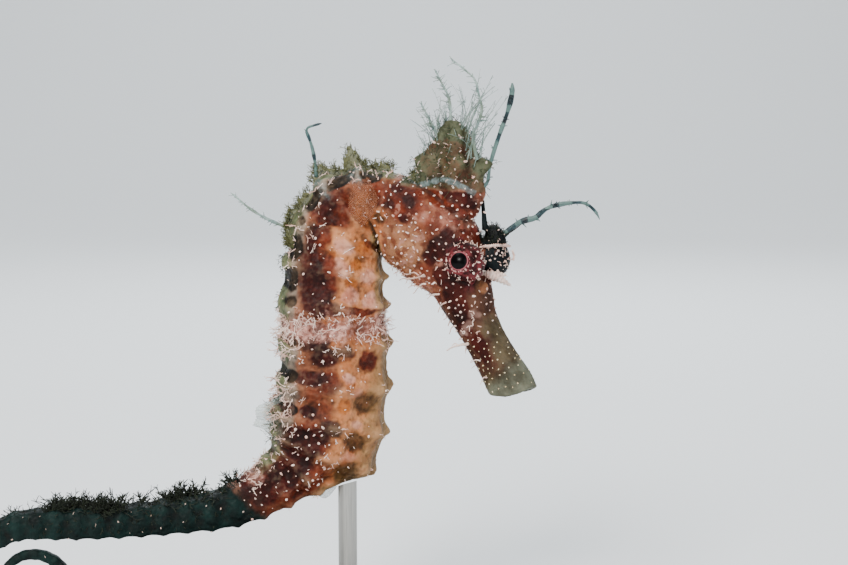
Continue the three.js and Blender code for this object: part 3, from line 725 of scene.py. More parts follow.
def skin_material():
    """The skin's colours, laid one over the other where the masks of marks_of say, with a fine grain."""
    n = Nodes("skin", Specular_IOR_Level=0.14, Subsurface_Weight=0.08,
              Subsurface_Radius=(0.0010, 0.0005, 0.0003), Subsurface_Scale=1.0)
    mottle, broad = n.noise(420, 4, 0.6), n.noise(150, 3, 0.55, 0.4)
    fine, speckle = n.noise(1500, 3, 0.6), n.noise(800, 3, 0.6)
    patchy = n.ramp(n.noise(260, 4, 0.6, 0.6), 0.4, 0.62)
    edge = n.plus(n.times(mottle, 0.6), n.times(fine, 0.4))
    wide, spread, grain = n.ramp(broad, 0.35, 0.65), n.ramp(mottle, 0.3, 0.7), n.ramp(fine, 0.3, 0.7)

    def mask(name, soft, pull=0.6):
        """The smooth mask with an edge broken up by noise."""
        rough = n.times(n.math("SUBTRACT", edge, 0.5), pull)
        return n.ramp(n.plus(n.attribute(name), rough), 0.5 - soft, 0.5 + soft)

    def lay(colour, name, low, high, soft, pull=0.6, share=spread):
        return n.mix(mask(name, soft, pull), colour, n.mix(share, low, high))

    def tint(colour, name, share, tone, clamp=False):
        """A wash of one tone over a mask, as strong as share says."""
        return n.mix(n.times(n.attribute(name), share, clamp), colour, tone)

    # The ground: a mottled red-brown face and an orange-brown trunk, with broad bands and blotches over it.
    face = n.mix(patchy, n.mix(wide, "#6e3a2c", "#936048"), n.mix(wide, "#884c3a", "#aa7260"))
    colour = n.mix(n.attribute("trunk"), face, n.mix(wide, "#9a5630", "#bb7a4e"))
    colour = n.mix(n.ramp(fine, 0.4, 0.75), colour, n.mix(0.3, colour, "#dca878"))
    # Painted shade: the recesses between the trunk's ridges darkened towards red-brown.
    colour = tint(colour, "dip", 0.6, "#5e2a0e")
    for name, low, high, soft, pull in (
        ("ashen", "#50463e", "#84786c", 0.4, 0.6),
        ("flank", "#4c2414", "#885238", 0.4, 0.9),
        ("orange", "#8a4216", "#ac642e", 0.4, 0.6),
        # The pale wash holds one painted highlight, on the cheek.
        ("pale", "#ab6850", "#ce9680", 0.4, 0.6),
        ("beige", "#6a4c2c", "#94744c", 0.35, 0.6),
        ("cheek", "#6c3e28", "#98684a", 0.45, 1.1),
    ):
        colour = lay(colour, name, low, high, soft, pull)
    colour = tint(colour, "cheek", n.ramp(broad, 0.52, 0.72), "#7c3a1e")
    colour = tint(colour, "cheek", n.times(patchy, 0.45), "#a87c5c")

    # The face: dark and light freckles under and over its brown blotches, then the snout and the dark reds.
    spots = n.times(n.attribute("face"), n.ramp(speckle, 0.5, 0.6))
    colour = n.mix(n.times(spots, 0.62), colour, "#541a0c")
    light = n.times(n.attribute("face"), n.ramp(speckle, 0.44, 0.34))
    colour = n.mix(n.times(light, 0.5), colour, "#a87c70")
    colour = lay(colour, "brown", "#380f06", "#6c2812", 0.45, 0.8)
    colour = n.mix(n.times(light, 0.6), colour, "#a07060")
    colour = tint(colour, "snout", 0.92, n.mix(spread, "#2c150d", "#553a2c"))
    colour = lay(colour, "crimson", "#240405", "#6a2a2e", 0.4, 1.0, n.ramp(speckle, 0.4, 0.6))
    colour = tint(colour, "crimson", n.ramp(broad, 0.5, 0.62), "#1c0404", clamp=True)
    colour = lay(colour, "maroon", "#170302", "#40100a", 0.38, 0.8)
    colour = lay(colour, "hollow", "#1e1206", "#543818", 0.5, 1.0)
    knobs = n.times(mask("pale", 0.4, 1.0), n.attribute("snout"))
    colour = n.mix(n.times(knobs, 0.7), colour, n.mix(spread, "#6e4e46", "#a08276"))

    # Olive on the coronet, lips and dorsal edge; black hollows, the tail dark with painted shade, the far
    # brow, blue and white.
    crown, snout = n.mix(spread, "#2f2f1e", "#545842"), n.mix(spread, "#2e2416", "#554a36")
    dorsal = n.mix(spread, "#3c4430", "#646c4c")
    olive = n.mix(n.attribute("trunk"), n.mix(n.attribute("snout"), crown, snout), dorsal)
    colour = n.mix(mask("olive", 0.45, 1.1), colour, olive)
    colour = n.mix(n.times(mask("lip", 0.35, 0.4), 0.85), colour, n.mix(spread, "#424235", "#686b5b"))
    colour = lay(colour, "black", "#040302", "#120e09", 0.28, 0.4)
    # Painted shade: the tail's own dark brown darkened to near black.
    colour = lay(colour, "tail", "#010908", "#06201d", 0.35, 0.8)
    colour = lay(colour, "navy", "#010305", "#061215", 0.3, 0.5)
    colour = tint(colour, "nose", 0.6, n.mix(spread, "#5a361a", "#8a6234"))
    colour = n.mix(n.times(mask("blue", 0.4, 1.0), 0.8), colour, n.mix(grain, "#3c4a4a", "#768686"))
    colour = lay(colour, "white", "#8a564a", "#d6a496", 0.3, 1.3, grain)

    # Crests and rises catch light; crevices are darker.
    colour = tint(colour, "crest", 0.16, n.mix(0.5, colour, "#e0b890"))
    colour = tint(colour, "cavity", 0.85, n.mix(0.75, colour, "#100603"), clamp=True)
    rise = n.times(n.times(n.attribute("cavity"), -0.16, clamp=True), n.attribute("trunk"))
    colour = n.mix(rise, colour, n.mix(0.35, colour, "#ecc8a4"))
    n.shade(Base_Color=colour, Roughness=n.plus(n.times(fine, 0.35), 0.4))
    n.bump(n.plus(n.times(n.cells(1700), 0.5), n.times(n.noise(900, 4, 0.65), 0.8)), 0.7, 0.0003)
    return n.material


def flesh_material(name, low, high, accent, alpha=1.0, rough=0.5, banded=False):
    """Thin skin: two tones by noise, and an accent by the piece's own tone; a low alpha makes it clear."""
    n = Nodes(name, Roughness=rough, Specular_IOR_Level=0.3, Alpha=alpha, Subsurface_Weight=0.1,
              Subsurface_Radius=(0.0008, 0.0006, 0.0005))
    mottle = n.noise(600, 4, 0.6)
    share = n.attribute("tone")
    if banded:
        share = n.ramp(share, 0.4, 0.6)
    plain = n.mix(n.ramp(mottle, 0.35, 0.65), low, high)
    n.shade(Base_Color=n.mix(share, plain, n.mix(mottle, accent, high)))
    n.bump(n.noise(1800, 3, 0.6), 0.35, 0.00012)
    return n.material


PUPIL = 0.67  # its half-angle, seen from the eye's centre


def eye_material(iris_dark, iris_light, ring, dash):
    """A dark pupil, a ring round it and a mottled iris with radial dashes."""
    n = Nodes("eyeball", Roughness=0.3, Specular_IOR_Level=0.08, Coat_Weight=0.03, Coat_Roughness=0.05)
    reach = n.attribute("reach")
    iris = n.mix(n.ramp(n.noise(1300, 3), 0.35, 0.65), iris_dark, iris_light)
    iris = n.mix(n.attribute("dash"), iris, dash)
    inner, outer = n.ramp(reach, PUPIL - 0.02, PUPIL + 0.03), n.ramp(reach, PUPIL + 0.06, PUPIL + 0.13)
    iris = n.mix(n.math("SUBTRACT", inner, outer), iris, ring)
    n.shade(Base_Color=n.mix(n.ramp(reach, PUPIL - 0.03, PUPIL + 0.01), "#040203", iris))
    return n.material


def stand_materials():
    """Dark moulded plastic for the base, brushed steel for the rod."""
    base = Nodes("stand_base")
    base.shade(Base_Color=base.mix(base.noise(260, 5, 0.6), "#161617", "#2b2a2a"),
               Roughness=base.ramp(base.noise(900, 3), -0.9, 2.0))
    base.bump(base.noise(2600, 3), 0.15, 0.0001)
    rod = Nodes("stand_rod", Metallic=1.0)
    along = rod.node("ShaderNodeMapping", Vector=rod.place(), Scale=(1, 1, 0.03))
    grain = rod.node("ShaderNodeTexNoise", Vector=along.outputs[0], Scale=6000).outputs["Fac"]
    rod.shade(Base_Color=rod.mix(grain, "#8d8b87", "#c9c7c2"), Roughness=rod.ramp(grain, -1.2, 2.4))
    return base.material, rod.material


# ---------------------------------------------------------------- where the markings lie


# Blotches in profile by colour, in order along the body: u, height above the midline, half-length,
# half-height, strength. The snout ends at about u = 13, the head at 31, the neck at 38 and the trunk at 73.
BLOTCHES = {
    "black": (
        (32.7, 4.5, 0.8, 1.0, 1.15), (34.8, 5.5, 1.1, 0.95, 1.15), (37.0, 6.1, 0.8, 0.8, 1.15),
        (38.6, 6.3, 0.5, 0.6, 0.8), (41.2, 6.3, 1.2, 0.9, 1.2), (44.5, 6.3, 1.5, 0.9, 1.2),
        (47.1, 6.3, 0.75, 0.75, 1.15), (51.8, 6.4, 0.8, 0.9, 0.8), (56.6, 6.4, 0.9, 1.0, 1.05),
        (61.9, 6.2, 1.0, 1.1, 1.1),
    ),
    "brown": (
        (4.4, -0.9, 1.5, 0.9, 0.8), (7.4, -1.2, 3.6, 1.8, 1.0), (8.6, 1.2, 2.4, 1.6, 0.55),
        (10.5, -2.6, 6.5, 1.9, 0.95), (12.4, 0.6, 2.6, 3.0, 1.1), (15.0, 2.4, 1.7, 1.5, 0.95),
        (18.6, -2.4, 1.9, 1.5, 0.6), (20.0, 4.2, 1.1, 1.2, 1.0), (24.4, 4.9, 2.3, 1.7, 1.0),
        (25.0, 8.4, 1.9, 1.7, 0.95), (25.6, 1.9, 1.5, 1.2, 0.6), (26.4, 7.9, 1.0, 1.1, 0.6),
        (28.0, 2.2, 3.2, 3.2, 0.95), (31.2, 2.3, 1.8, 2.4, 0.9), (33.4, 0.6, 1.3, 2.6, 0.55),
        (36.6, 3.3, 1.9, 3.0, 1.15), (37.6, -3.6, 0.9, 1.6, 0.7), (39.2, 3.4, 1.8, 1.5, 0.85),
        (44.2, 2.6, 4.2, 2.3, 0.95), (48.1, -1.4, 0.62, 4.6, 1.25), (53.2, -0.2, 1.2, 1.3, 1.1),
        (54.7, -3.6, 1.4, 1.5, 1.15), (57.4, 1.9, 1.6, 2.0, 0.9), (59.4, 3.0, 1.6, 2.0, 0.6),
        (61.4, 1.9, 2.4, 1.9, 0.6), (65.6, 2.4, 3.2, 2.8, 0.9), (72.5, 0.0, 5.4, 2.4, 0.95),
        (75.5, -2.0, 5.0, 1.6, 0.8), (76.6, 3.0, 3.2, 2.2, 0.9), (79.2, 0.4, 2.4, 2.8, 1.0),
    ),
    "maroon": (
        (6.0, -0.6, 1.5, 0.95, 1.1), (7.9, -0.7, 1.6, 1.25, 1.15), (10.4, -1.7, 1.5, 1.3, 1.0),
        (12.4, -0.9, 1.9, 1.7, 1.1), (14.6, -0.4, 1.9, 1.8, 1.1), (16.0, 0.6, 1.8, 1.8, 1.05),
        (17.4, -0.8, 1.8, 1.6, 0.9), (20.4, -0.9, 1.4, 1.2, 0.95), (21.0, 0.8, 1.5, 1.5, 1.05),
        (21.2, 2.3, 1.1, 1.2, 0.95), (23.3, 6.2, 0.9, 0.8, 1.0), (24.4, 5.6, 1.1, 0.9, 1.0),
        (27.2, 0.2, 1.1, 0.8, 0.8), (27.2, 2.5, 1.0, 0.9, 0.85), (29.4, 3.6, 1.2, 1.0, 0.9),
        (30.0, 1.4, 0.9, 0.8, 0.75), (36.8, 4.3, 1.2, 1.5, 0.8), (39.3, 4.5, 1.1, 1.15, 1.0),
        (41.2, 4.5, 1.4, 1.5, 1.1), (42.8, 4.2, 1.7, 1.8, 1.1), (44.6, 3.7, 1.9, 2.1, 1.1),
        (46.3, 3.2, 1.7, 2.3, 1.1), (47.7, 2.4, 1.2, 2.4, 1.1), (51.9, 3.7, 1.4, 2.1, 1.15),
        (53.9, 2.2, 1.6, 2.2, 1.15), (54.9, -3.8, 0.7, 0.8, 0.6), (57.0, 3.8, 1.15, 2.5, 1.05),
        (61.8, 3.9, 1.15, 1.3, 1.1), (63.3, 0.5, 1.4, 1.7, 1.05), (64.8, 2.0, 1.5, 1.7, 1.1),
        (65.4, 4.7, 1.15, 1.8, 1.1), (67.6, 3.5, 2.3, 2.8, 1.15), (70.8, 3.0, 2.5, 2.8, 1.15),
        (74.0, 2.2, 2.3, 2.5, 1.15), (75.0, 4.2, 1.8, 1.6, 0.7), (77.0, 1.4, 2.2, 2.2, 1.1),
        (78.4, 2.6, 2.0, 1.8, 0.9),
    ),
    "hollow": (
        (31.6, -0.9, 1.0, 1.0, 0.7), (33.8, -2.6, 0.8, 1.8, 0.8), (59.9, -3.7, 1.4, 2.1, 0.74),
        (64.6, -3.2, 1.3, 2.0, 0.74), (68.4, -3.8, 1.4, 2.1, 0.86),
    ),
    "orange": (
        (34.8, -0.8, 1.4, 1.5, 0.7), (38.9, -2.4, 1.2, 1.6, 0.8), (41.4, 1.6, 0.9, 0.8, 0.8),
        (41.6, -1.8, 1.0, 0.8, 1.0), (44.1, -1.3, 1.0, 0.95, 1.1), (57.6, -0.8, 1.5, 1.1, 0.8),
        (60.4, -0.6, 1.4, 1.1, 0.9),
    ),
    "pale": (
        (9.9, -2.2, 0.5, 0.8, 0.7), (10.5, -0.9, 0.6, 0.9, 0.75), (11.4, 0.6, 0.7, 0.9, 0.7),
        # The pale patch at u 24.3 on the cheek is a painted highlight.
        (19.3, -4.2, 1.4, 0.9, 0.45), (22.3, 3.6, 1.7, 1.3, 0.6), (24.3, 1.7, 0.9, 0.9, 0.75),
        (39.7, 0.2, 1.2, 1.6, 0.7), (42.6, 0.2, 1.3, 1.3, 0.8), (43.2, -3.6, 1.4, 1.1, 0.6),
        (46.0, -1.2, 1.3, 1.4, 0.95), (46.5, -4.3, 1.2, 1.2, 0.95), (56.8, -1.0, 0.8, 1.0, 0.9),
        (58.7, -2.3, 1.0, 1.0, 0.6), (62.4, -3.0, 0.8, 1.2, 0.5), (66.5, -3.0, 0.8, 1.4, 0.5),
    ),
}


def distance(points, *places):
    """How far each point is from the nearest of some places."""
    return np.min([np.linalg.norm(points - place, axis=1) for place in places], axis=0)


EYE_BRIDGE, NOSE_SPOT = (17.0, 3.8, 1.7), (14.1, 2.9, -1.0)
DARK_TURRET = (EYE["u"], EYE["up"], TURRET["out"] + 0.6)


def marks_of(u, phi, h, points):
    """Soft masks over the skin, from u and phi, the height above the midline and the place itself."""
    low, fine, low_h, fine_h = [noise_at(points, k, (j, 7 * j, 3)) for j in (1, 2) for k in (0.45, 1.5)]
    shift_u = 0.5 * low + 0.28 * fine
    shift_h = 0.5 * low_h + 0.28 * fine_h
    wu, wh = u + shift_u, h + shift_h
    on_head = 1 - smooth(29.5, 31.5, u)
    on_tail = smooth(74, 80, u)
    trunk = (1 - on_head) * (1 - on_tail)
    names = ("ashen", "flank", "orange", "olive", "pale", "beige", "cheek", "brown", "crimson", "maroon",
             "hollow", "black", "tail", "navy", "blue", "white", "lip")
    masks = {name: np.zeros(len(u)) for name in names}

    def paint(name, value):
        masks[name] = np.maximum(masks[name], value)

    for name, blotches in BLOTCHES.items():
        warp = 0.45 if name in ("black", "hollow") else 1.0  # these two keep a rounder outline
        for middle_u, middle_h, half_u, half_h, strength in blotches:
            away_u = (u + warp * shift_u - middle_u) / half_u
            away_h = (h + warp * shift_h - middle_h) / half_h
            paint(name, strength * (1 - smooth(0.5, 1.35, np.hypot(away_u, away_h))))

    # Bands along the whole trunk: grey-brown skin on the back, brown flank, olive fringe, beige keel; then
    # the white band round its middle and two white patches near the fin and the tail's root.
    lower = smooth(50.5, 54, u)
    flank = smooth(1.6 - 1.6 * lower, 3.4 - 1.6 * lower, wh) * (1 - smooth(5.2, 6.4, wh))
    band = trunk * hump(wu - 50.4, 1.35)
    paint("ashen", trunk * smooth(4.4, 5.8, wh))
    paint("flank", trunk * flank * (0.85 + 0.3 * low))
    paint("olive", trunk * smooth(-0.5, 0.5, wh - (back(u) - 0.7)) * 0.95)
    paint("beige", trunk * smooth(-1.1, 0.9, -belly(u) + 1.4 - wh) * 0.95)
    paint("beige", trunk * lower * smooth(-2.4, -4.8, wh) * 0.62)
    paint("orange", trunk * hump(wh + 0.4, 1.1) * 0.42)
    paint("white", band * (0.66 + 0.4 * low))
    paint("white", trunk * hump(wu - 62.5, 2.2) * smooth(4.6, 6.2, wh) * 0.4)
    paint("white", hump(wu - 77.5, 1.6) * smooth(1.6, 3.0, wh) * 0.4)
    paint("brown", band * 0.72)

    # The tail is painted almost black: its own dark brown, darkened by painted shade.
    paint("tail", smooth(76.0, 82.5, wu - 0.5 * wh) * 1.25)

    # The head: tan cheek, browner above; the snout clears to olive beige at the lips.
    paint("cheek", on_head * smooth(2.2, -0.6, wh) * smooth(18.5, 21.5, u))
    paint("brown", on_head * smooth(3.5, 8, u) * (0.55 + 0.5 * low) * smooth(-3.5, 1.5, wh))
    paint("olive", on_head * (1 - smooth(8.5, 12.5, u)) * smooth(-0.3, 1.8, wh) * 0.9)
    paint("olive", (1 - smooth(2.4, 5.2, wu)) * 0.9)
    paint("lip", 1 - smooth(0.8, 4.6, wu - 0.5 * wh))

    # Dark skin round the far eye, the left brow, the bridge between the eyes and the left spine.
    for places, inner, outer, rough in (
        ([spot(*DARK_TURRET)], 2.3, 3.3, 0.5 * low),
        ([spot(*BROW_LOBE)], 1.7, 2.6, 0.4 * low),
        ([spot(*EYE_BRIDGE)], 1.3, 2.1, 0.5 * fine),
        (spine_path(*LEFT_SPINE[:5], 0.3), 0.7, 1.2, 0.0),
    ):
        paint("navy", (1 - smooth(inner, outer, distance(points, *places) + rough)) * 1.1)

    # Round the near eye the skin is crimson and fades into the cheek.
    away = distance(points, eye_place(-1))
    paint("crimson", (1 - smooth(2.4, 4.6, away + 0.9 * low + 0.3 * fine)) * 1.15)
    paint("crimson", on_head * hump(u - 21.8, 1.6) * hump(h - 4.0, 1.6) * 0.42)
    lit = 1 - smooth(1.9, 2.5, away)
    for name in ("maroon", "brown", "hollow"):
        masks[name] = masks[name] * (1 - 0.55 * lit)

    # The coronet is olive-brown with a reddish foot; a pale fold runs round its root.
    start, upward, _, _ = coronet_frame()
    high = (points - start) @ upward
    aside = np.linalg.norm((points - start) - np.outer(high, upward), axis=1)
    crown = smooth(0.4, 1.5, high + 0.6 * low) * (aside < 6.2) * (u > 17)
    for name in masks:
        if name not in ("brown", "olive", "blue"):
            masks[name] = masks[name] * (1 - crown)
    foot = masks["brown"] * (np.hypot((wu - 25.0) / 2.6, (wh - 8.4) / 2.4) < 1.3)
    masks["brown"] = masks["brown"] * (1 - crown) + foot * crown
    masks["olive"] = masks["olive"] * (1 - crown) + crown * (1 - 0.5 * np.clip(foot, 0, 1))
    paint("blue", 1 - smooth(0.28, 0.6, distance(points, *crown_band()[::2]) + 0.2 * fine))
    paint("blue", trunk * hump(wu - 33.7, 0.4) * smooth(3.2, 4.8, wh) * 0.8)
    paint("blue", trunk * hump(wu - 36.1, 0.35) * smooth(3.9, 5.2, wh) * 0.8)

    # An orange-brown spot on the nose.
    nose = 1 - smooth(0.35, 1.4, distance(points, spot(*NOSE_SPOT)))
    for name in ("brown", "maroon", "olive", "hollow", "navy", "crimson"):
        masks[name] = masks[name] * (1 - nose)
    paint("orange", nose * 0.35)

    height = relief(u, phi)
    masks.update(
        nose=nose,
        trunk=trunk,
        crown=crown,
        face=on_head * (1 - crown) * smooth(13.5, 17, u) * (1 - masks["navy"]),
        snout=on_head * (1 - smooth(12.5, 16.5, u + low)) * (1 - nose),
        # The ridges' crests carry a painted highlight, and the recesses between them painted shade.
        crest=smooth(0.15, 0.8, height) * trunk,
        dip=smooth(0.1, 0.6, -height) * trunk,
    )
    return masks


def sink(points, normals, masks):
    """The skin falls in a little at the dark hollows between the rings, and is never quite smooth."""
    dark = np.clip(masks["hollow"], 0, 1) * 0.34 + np.clip(masks["black"], 0, 1) * 0.26 * masks["trunk"]
    dark += np.clip(masks["brown"], 0, 1) * 0.1 * masks["trunk"]
    folds = noise_at(points, 1.3) + 0.6 * noise_at(points, 2.9)
    return points - normals * (dark + 0.09 * folds * (0.4 + 0.6 * masks["trunk"]) + 0.03)[:, None]


FULL_HOLLOW = 0.06  # depth that counts as wholly hollow


def cavity_of(points, normals, around):
    """How hollow the surface is at each vertex, smoothed over a few neighbours."""
    soft = points.copy()
    for _ in range(6):
        soft = around(soft)
    depth = ((soft - points) * normals).sum(1)
    return np.clip(depth / FULL_HOLLOW, -1, 1)


# ---------------------------------------------------------------- white papillae and branching cirri


CELL = 1.2  # side of the cells that the dots are sorted into; only neighbouring cells are compared


def scattered(points, order, spacing):
    """Indices from order that keep at least their own spacing from those already taken."""
    taken, cells = [], {}
    for i in order:
        gap = spacing[i]
        if gap <= 0:
            continue
        a, b, c = np.floor(points[i] / CELL).astype(int)
        beside = product((a - 1, a, a + 1), (b - 1, b, b + 1), (c - 1, c, c + 1))
        near = (k for cell in beside for k in cells.get(cell, ()))
        if not any(np.sum((points[k] - points[i]) ** 2) < gap * gap for k in near):
            taken.append(i)
            cells.setdefault((a, b, c), []).append(i)
    return taken


def dome(centre, normal, radius, height, tilt):
    """A small papilla: a foot, a waist and a rounded tip."""
    a, b = square_to(normal, [0.3, 0.2, 0.93])
    lean = (a * tilt[0] + b * tilt[1]) * height
    rows, sides = ((1.25, -0.3, 0.0), (1.0, 0.25, 0.2), (0.85, 0.7, 0.6), (0.4, 1.0, 1.0)), 6
    points = []
    for width, up, share in rows:
        for j in range(sides):
            w = 2 * math.pi * j / sides
            out = radius * width * (math.cos(w) * a + math.sin(w) * b)
            points.append(centre + out + normal * up * height + lean * share)
    return np.array(points), tube_faces(len(rows), sides)


def curly(start, direction, length, bend, steps=6):
    """A short run that bends steadily one way."""
    path = [np.array(start, float)]
    ahead = unit(direction)
    axis = RNG.normal(size=3)
    axis = unit(axis - ahead * (axis @ ahead))
    for _ in range(steps):
        ahead = unit(ahead + axis * (bend / steps))
        path.append(path[-1] + ahead * (length / steps))
    return np.array(path)


SLACK, CURLED = (0.3, 1.2), (1.4, 3.4)  # how far a filament bends over its length, in radians


def cirrus(heap, root, normal, uv, length, thick, twigs, lie, tone, bend=SLACK, toward=None):
    """A branching filament: a stem with side twigs, each ending in a fine tip; lie tips it over."""
    side_way = RNG.normal(size=3) if toward is None else toward + 0.35 * RNG.normal(size=3)
    side_way = unit(side_way - normal * (side_way @ normal), 1e-9)
    stem = curly(root - normal * 0.1, normal * (1 - lie) + side_way * lie, length, RNG.uniform(*bend))
    heap.add(*thread(stem, thick, thick * 0.45), uv, tone)
    for _ in range(twigs):
        k = RNG.integers(2, len(stem) - 1)
        way = unit(stem[k + 1] - stem[k - 1]) + 0.9 * RNG.normal(size=3) * 0.7 + normal * 0.25
        twig = curly(stem[k], way, length * RNG.uniform(0.25, 0.5), RNG.uniform(0.2, 1.0), 3)
        heap.add(*thread(twig, thick * 0.7, thick * 0.35), uv, tone)


def skin_uv(u, phi):
    return np.array([0.02 + 0.96 * u / 160.0, 0.02 + 0.96 * (phi % 360) / 360.0])


FAR = 999  # no limit on that side


class Coat:
    """The papillae and filaments that grow from the skin, sorted by colour."""

    def __init__(self, points, normals, u, phi, h, masks):
        self.points, self.normals, self.u, self.phi, self.h = points, normals, u, phi, h
        self.p = np.where(phi > 180, 360 - phi, phi)  # the angle from the back, the same on both sides
        self.masks = masks
        self.dots, self.tips, self.fronds, self.weeds = Heap(), Heap(), Heap(), Heap()

    def uv(self, i):
        return skin_uv(self.u[i], self.phi[i])

    def nearest(self, place):
        return int(np.argmin(((self.points - place) ** 2).sum(1)))

    def within(self, **limits):
        """The vertices whose u, h or p lies between the limits."""
        chosen = np.ones(len(self.u), bool)
        for key, (low, high) in limits.items():
            chosen &= (getattr(self, key) > low) & (getattr(self, key) < high)
        return chosen

    def grow(self, heap, i, *stem, **more):
        cirrus(heap, self.points[i], self.normals[i], self.uv(i), *stem, **more)

    def sprout(self, heap, choose, count, shortest, longest, thick, twigs, lie, tone=0.0, bend=SLACK):
        """Grows filaments at random vertices among the chosen ones."""
        pool = np.flatnonzero(choose)
        for i in RNG.choice(pool, size=min(count, len(pool)), replace=False):
            long = RNG.uniform(shortest, longest)
            shade = tone + RNG.uniform(0, 0.25)
            wide = thick * RNG.uniform(0.75, 1.2)
            self.grow(heap, i, long, wide, twigs, lie, shade, bend=bend)


def papillae(coat):
    """White dots: dense on the face and snout, in loose groups on the trunk, few on the tail.

    The snout's own dots, in front of u = 8, are smaller and cream.
    """
    u, h, points, masks = coat.u, coat.h, coat.points, coat.masks
    away = distance(points, eye_place(1), eye_place(-1))
    dark = np.clip(masks["maroon"] + 0.6 * masks["brown"], 0, 1)

    # The least gap to the next dot; a later row wins over an earlier one.
    spacing = np.where(u > 33, 2.4 - dark + 1.8 * smooth(-1.5, -3.5, h), 2.3)
    spacing[(u > 37) & (u < 49)] += 0.5
    for where, gap in (
        ((u > 62) & (u < 80) & (dark > 0.5), 1.05),
        ((u > 26) & (u <= 33), 1.0),
        ((u > 21) & (u <= 26), 0.92),
        ((u > 12) & (u <= 21), 0.9),
        (u <= 12, 1.1),
        (u < 7, 0.95),
        ((away > 2.2) & (away < 3.6), 0.82),
        (u > 81, 3.0),
        (u > 100, 4.0),
        (masks["crown"] > 0.5, 1.25),
    ):
        spacing[where] = gap
    spacing = spacing * (1 - 0.7 * noise_at(points, 0.33, (3, 1, 8)))
    spacing[(away < 1.95) | (u < 0.5)] = 0
    for i in scattered(points, RNG.permutation(len(points)), spacing):
        size, tall = 0.06 + 0.1 * RNG.uniform() ** 1.5, RNG.uniform(0.1, 0.3)
        if u[i] > 33:
            size = (0.045 + 0.12 * RNG.uniform() ** 1.6) * (0.8 + 0.35 * dark[i])
        if 62 < u[i] < 80:  # the rump
            size = size * 1.15
        tone = RNG.uniform(0, 0.6) * (1.25 - size / 0.15)
        if u[i] > 80:
            size, tone = size * 0.7, 0.9
        tilt = RNG.normal(size=2) * 0.7
        heap = coat.dots
        if u[i] < 8:
            size, tall, heap = RNG.uniform(0.055, 0.1), RNG.uniform(0.06, 0.14), coat.tips
        heap.add(*dome(points[i], coat.normals[i], size, tall, tilt), coat.uv(i), tone)


# The long filaments on the lower edge of the face: knots (u, up, out) and thickness.
LONG_CIRRI = (
    (((18.6, -2.8, -3.9), (18.8, -3.6, -3.8), (19.3, -5.5, -3.1), (19.9, -7.1, -2.6),
      (20.0, -7.9, -2.4)), 0.12),
    (((19.0, -3.8, -3.6), (19.5, -4.3, -3.7), (20.1, -4.9, -3.6)), 0.11),
    (((17.6, -3.4, -3.6), (17.7, -4.3, -3.3), (17.8, -5.9, -2.4), (17.7, -6.9, -2.0)), 0.13),
    (((17.7, -4.6, -2.9), (18.1, -5.7, -2.6), (18.6, -6.6, -2.3)), 0.1),
    (((15.7, -2.2, -3.4), (15.8, -2.9, -3.2), (16.0, -4.1, -2.5), (16.1, -5.0, -2.2)), 0.12),
    (((14.4, -1.9, -3.1), (14.3, -2.6, -2.9), (14.1, -3.7, -2.3), (13.9, -4.4, -2.1)), 0.12),
    (((11.2, -2.5, -2.3), (11.1, -3.6, -1.9), (10.8, -4.4, -1.7)), 0.11),
    (((8.5, -2.0, -2.1), (8.7, -3.0, -1.7), (8.8, -4.3, -1.4), (8.95, -5.2, -1.4), (9.05, -6.0, -1.4)), 0.2),
    (((8.8, -3.8, -1.5), (9.2, -4.3, -1.5), (9.4, -4.9, -1.4)), 0.11),
    (((5.8, -1.3, -2.1), (6.0, -2.1, -2.0), (6.3, -3.2, -1.5)), 0.11),
    (((3.5, -1.3, -2.2), (3.5, -2.0, -2.0), (3.2, -2.9, -1.9)), 0.11),
)
# Pairs of short filaments on the snout's near side: u and the angle round it.
SNOUT_PAIRS = ((11.6, 296), (11.2, 280), (10.6, 270), (10.4, 258), (10.0, 245), (9.7, 235), (9.0, 285),
               (8.2, 270))
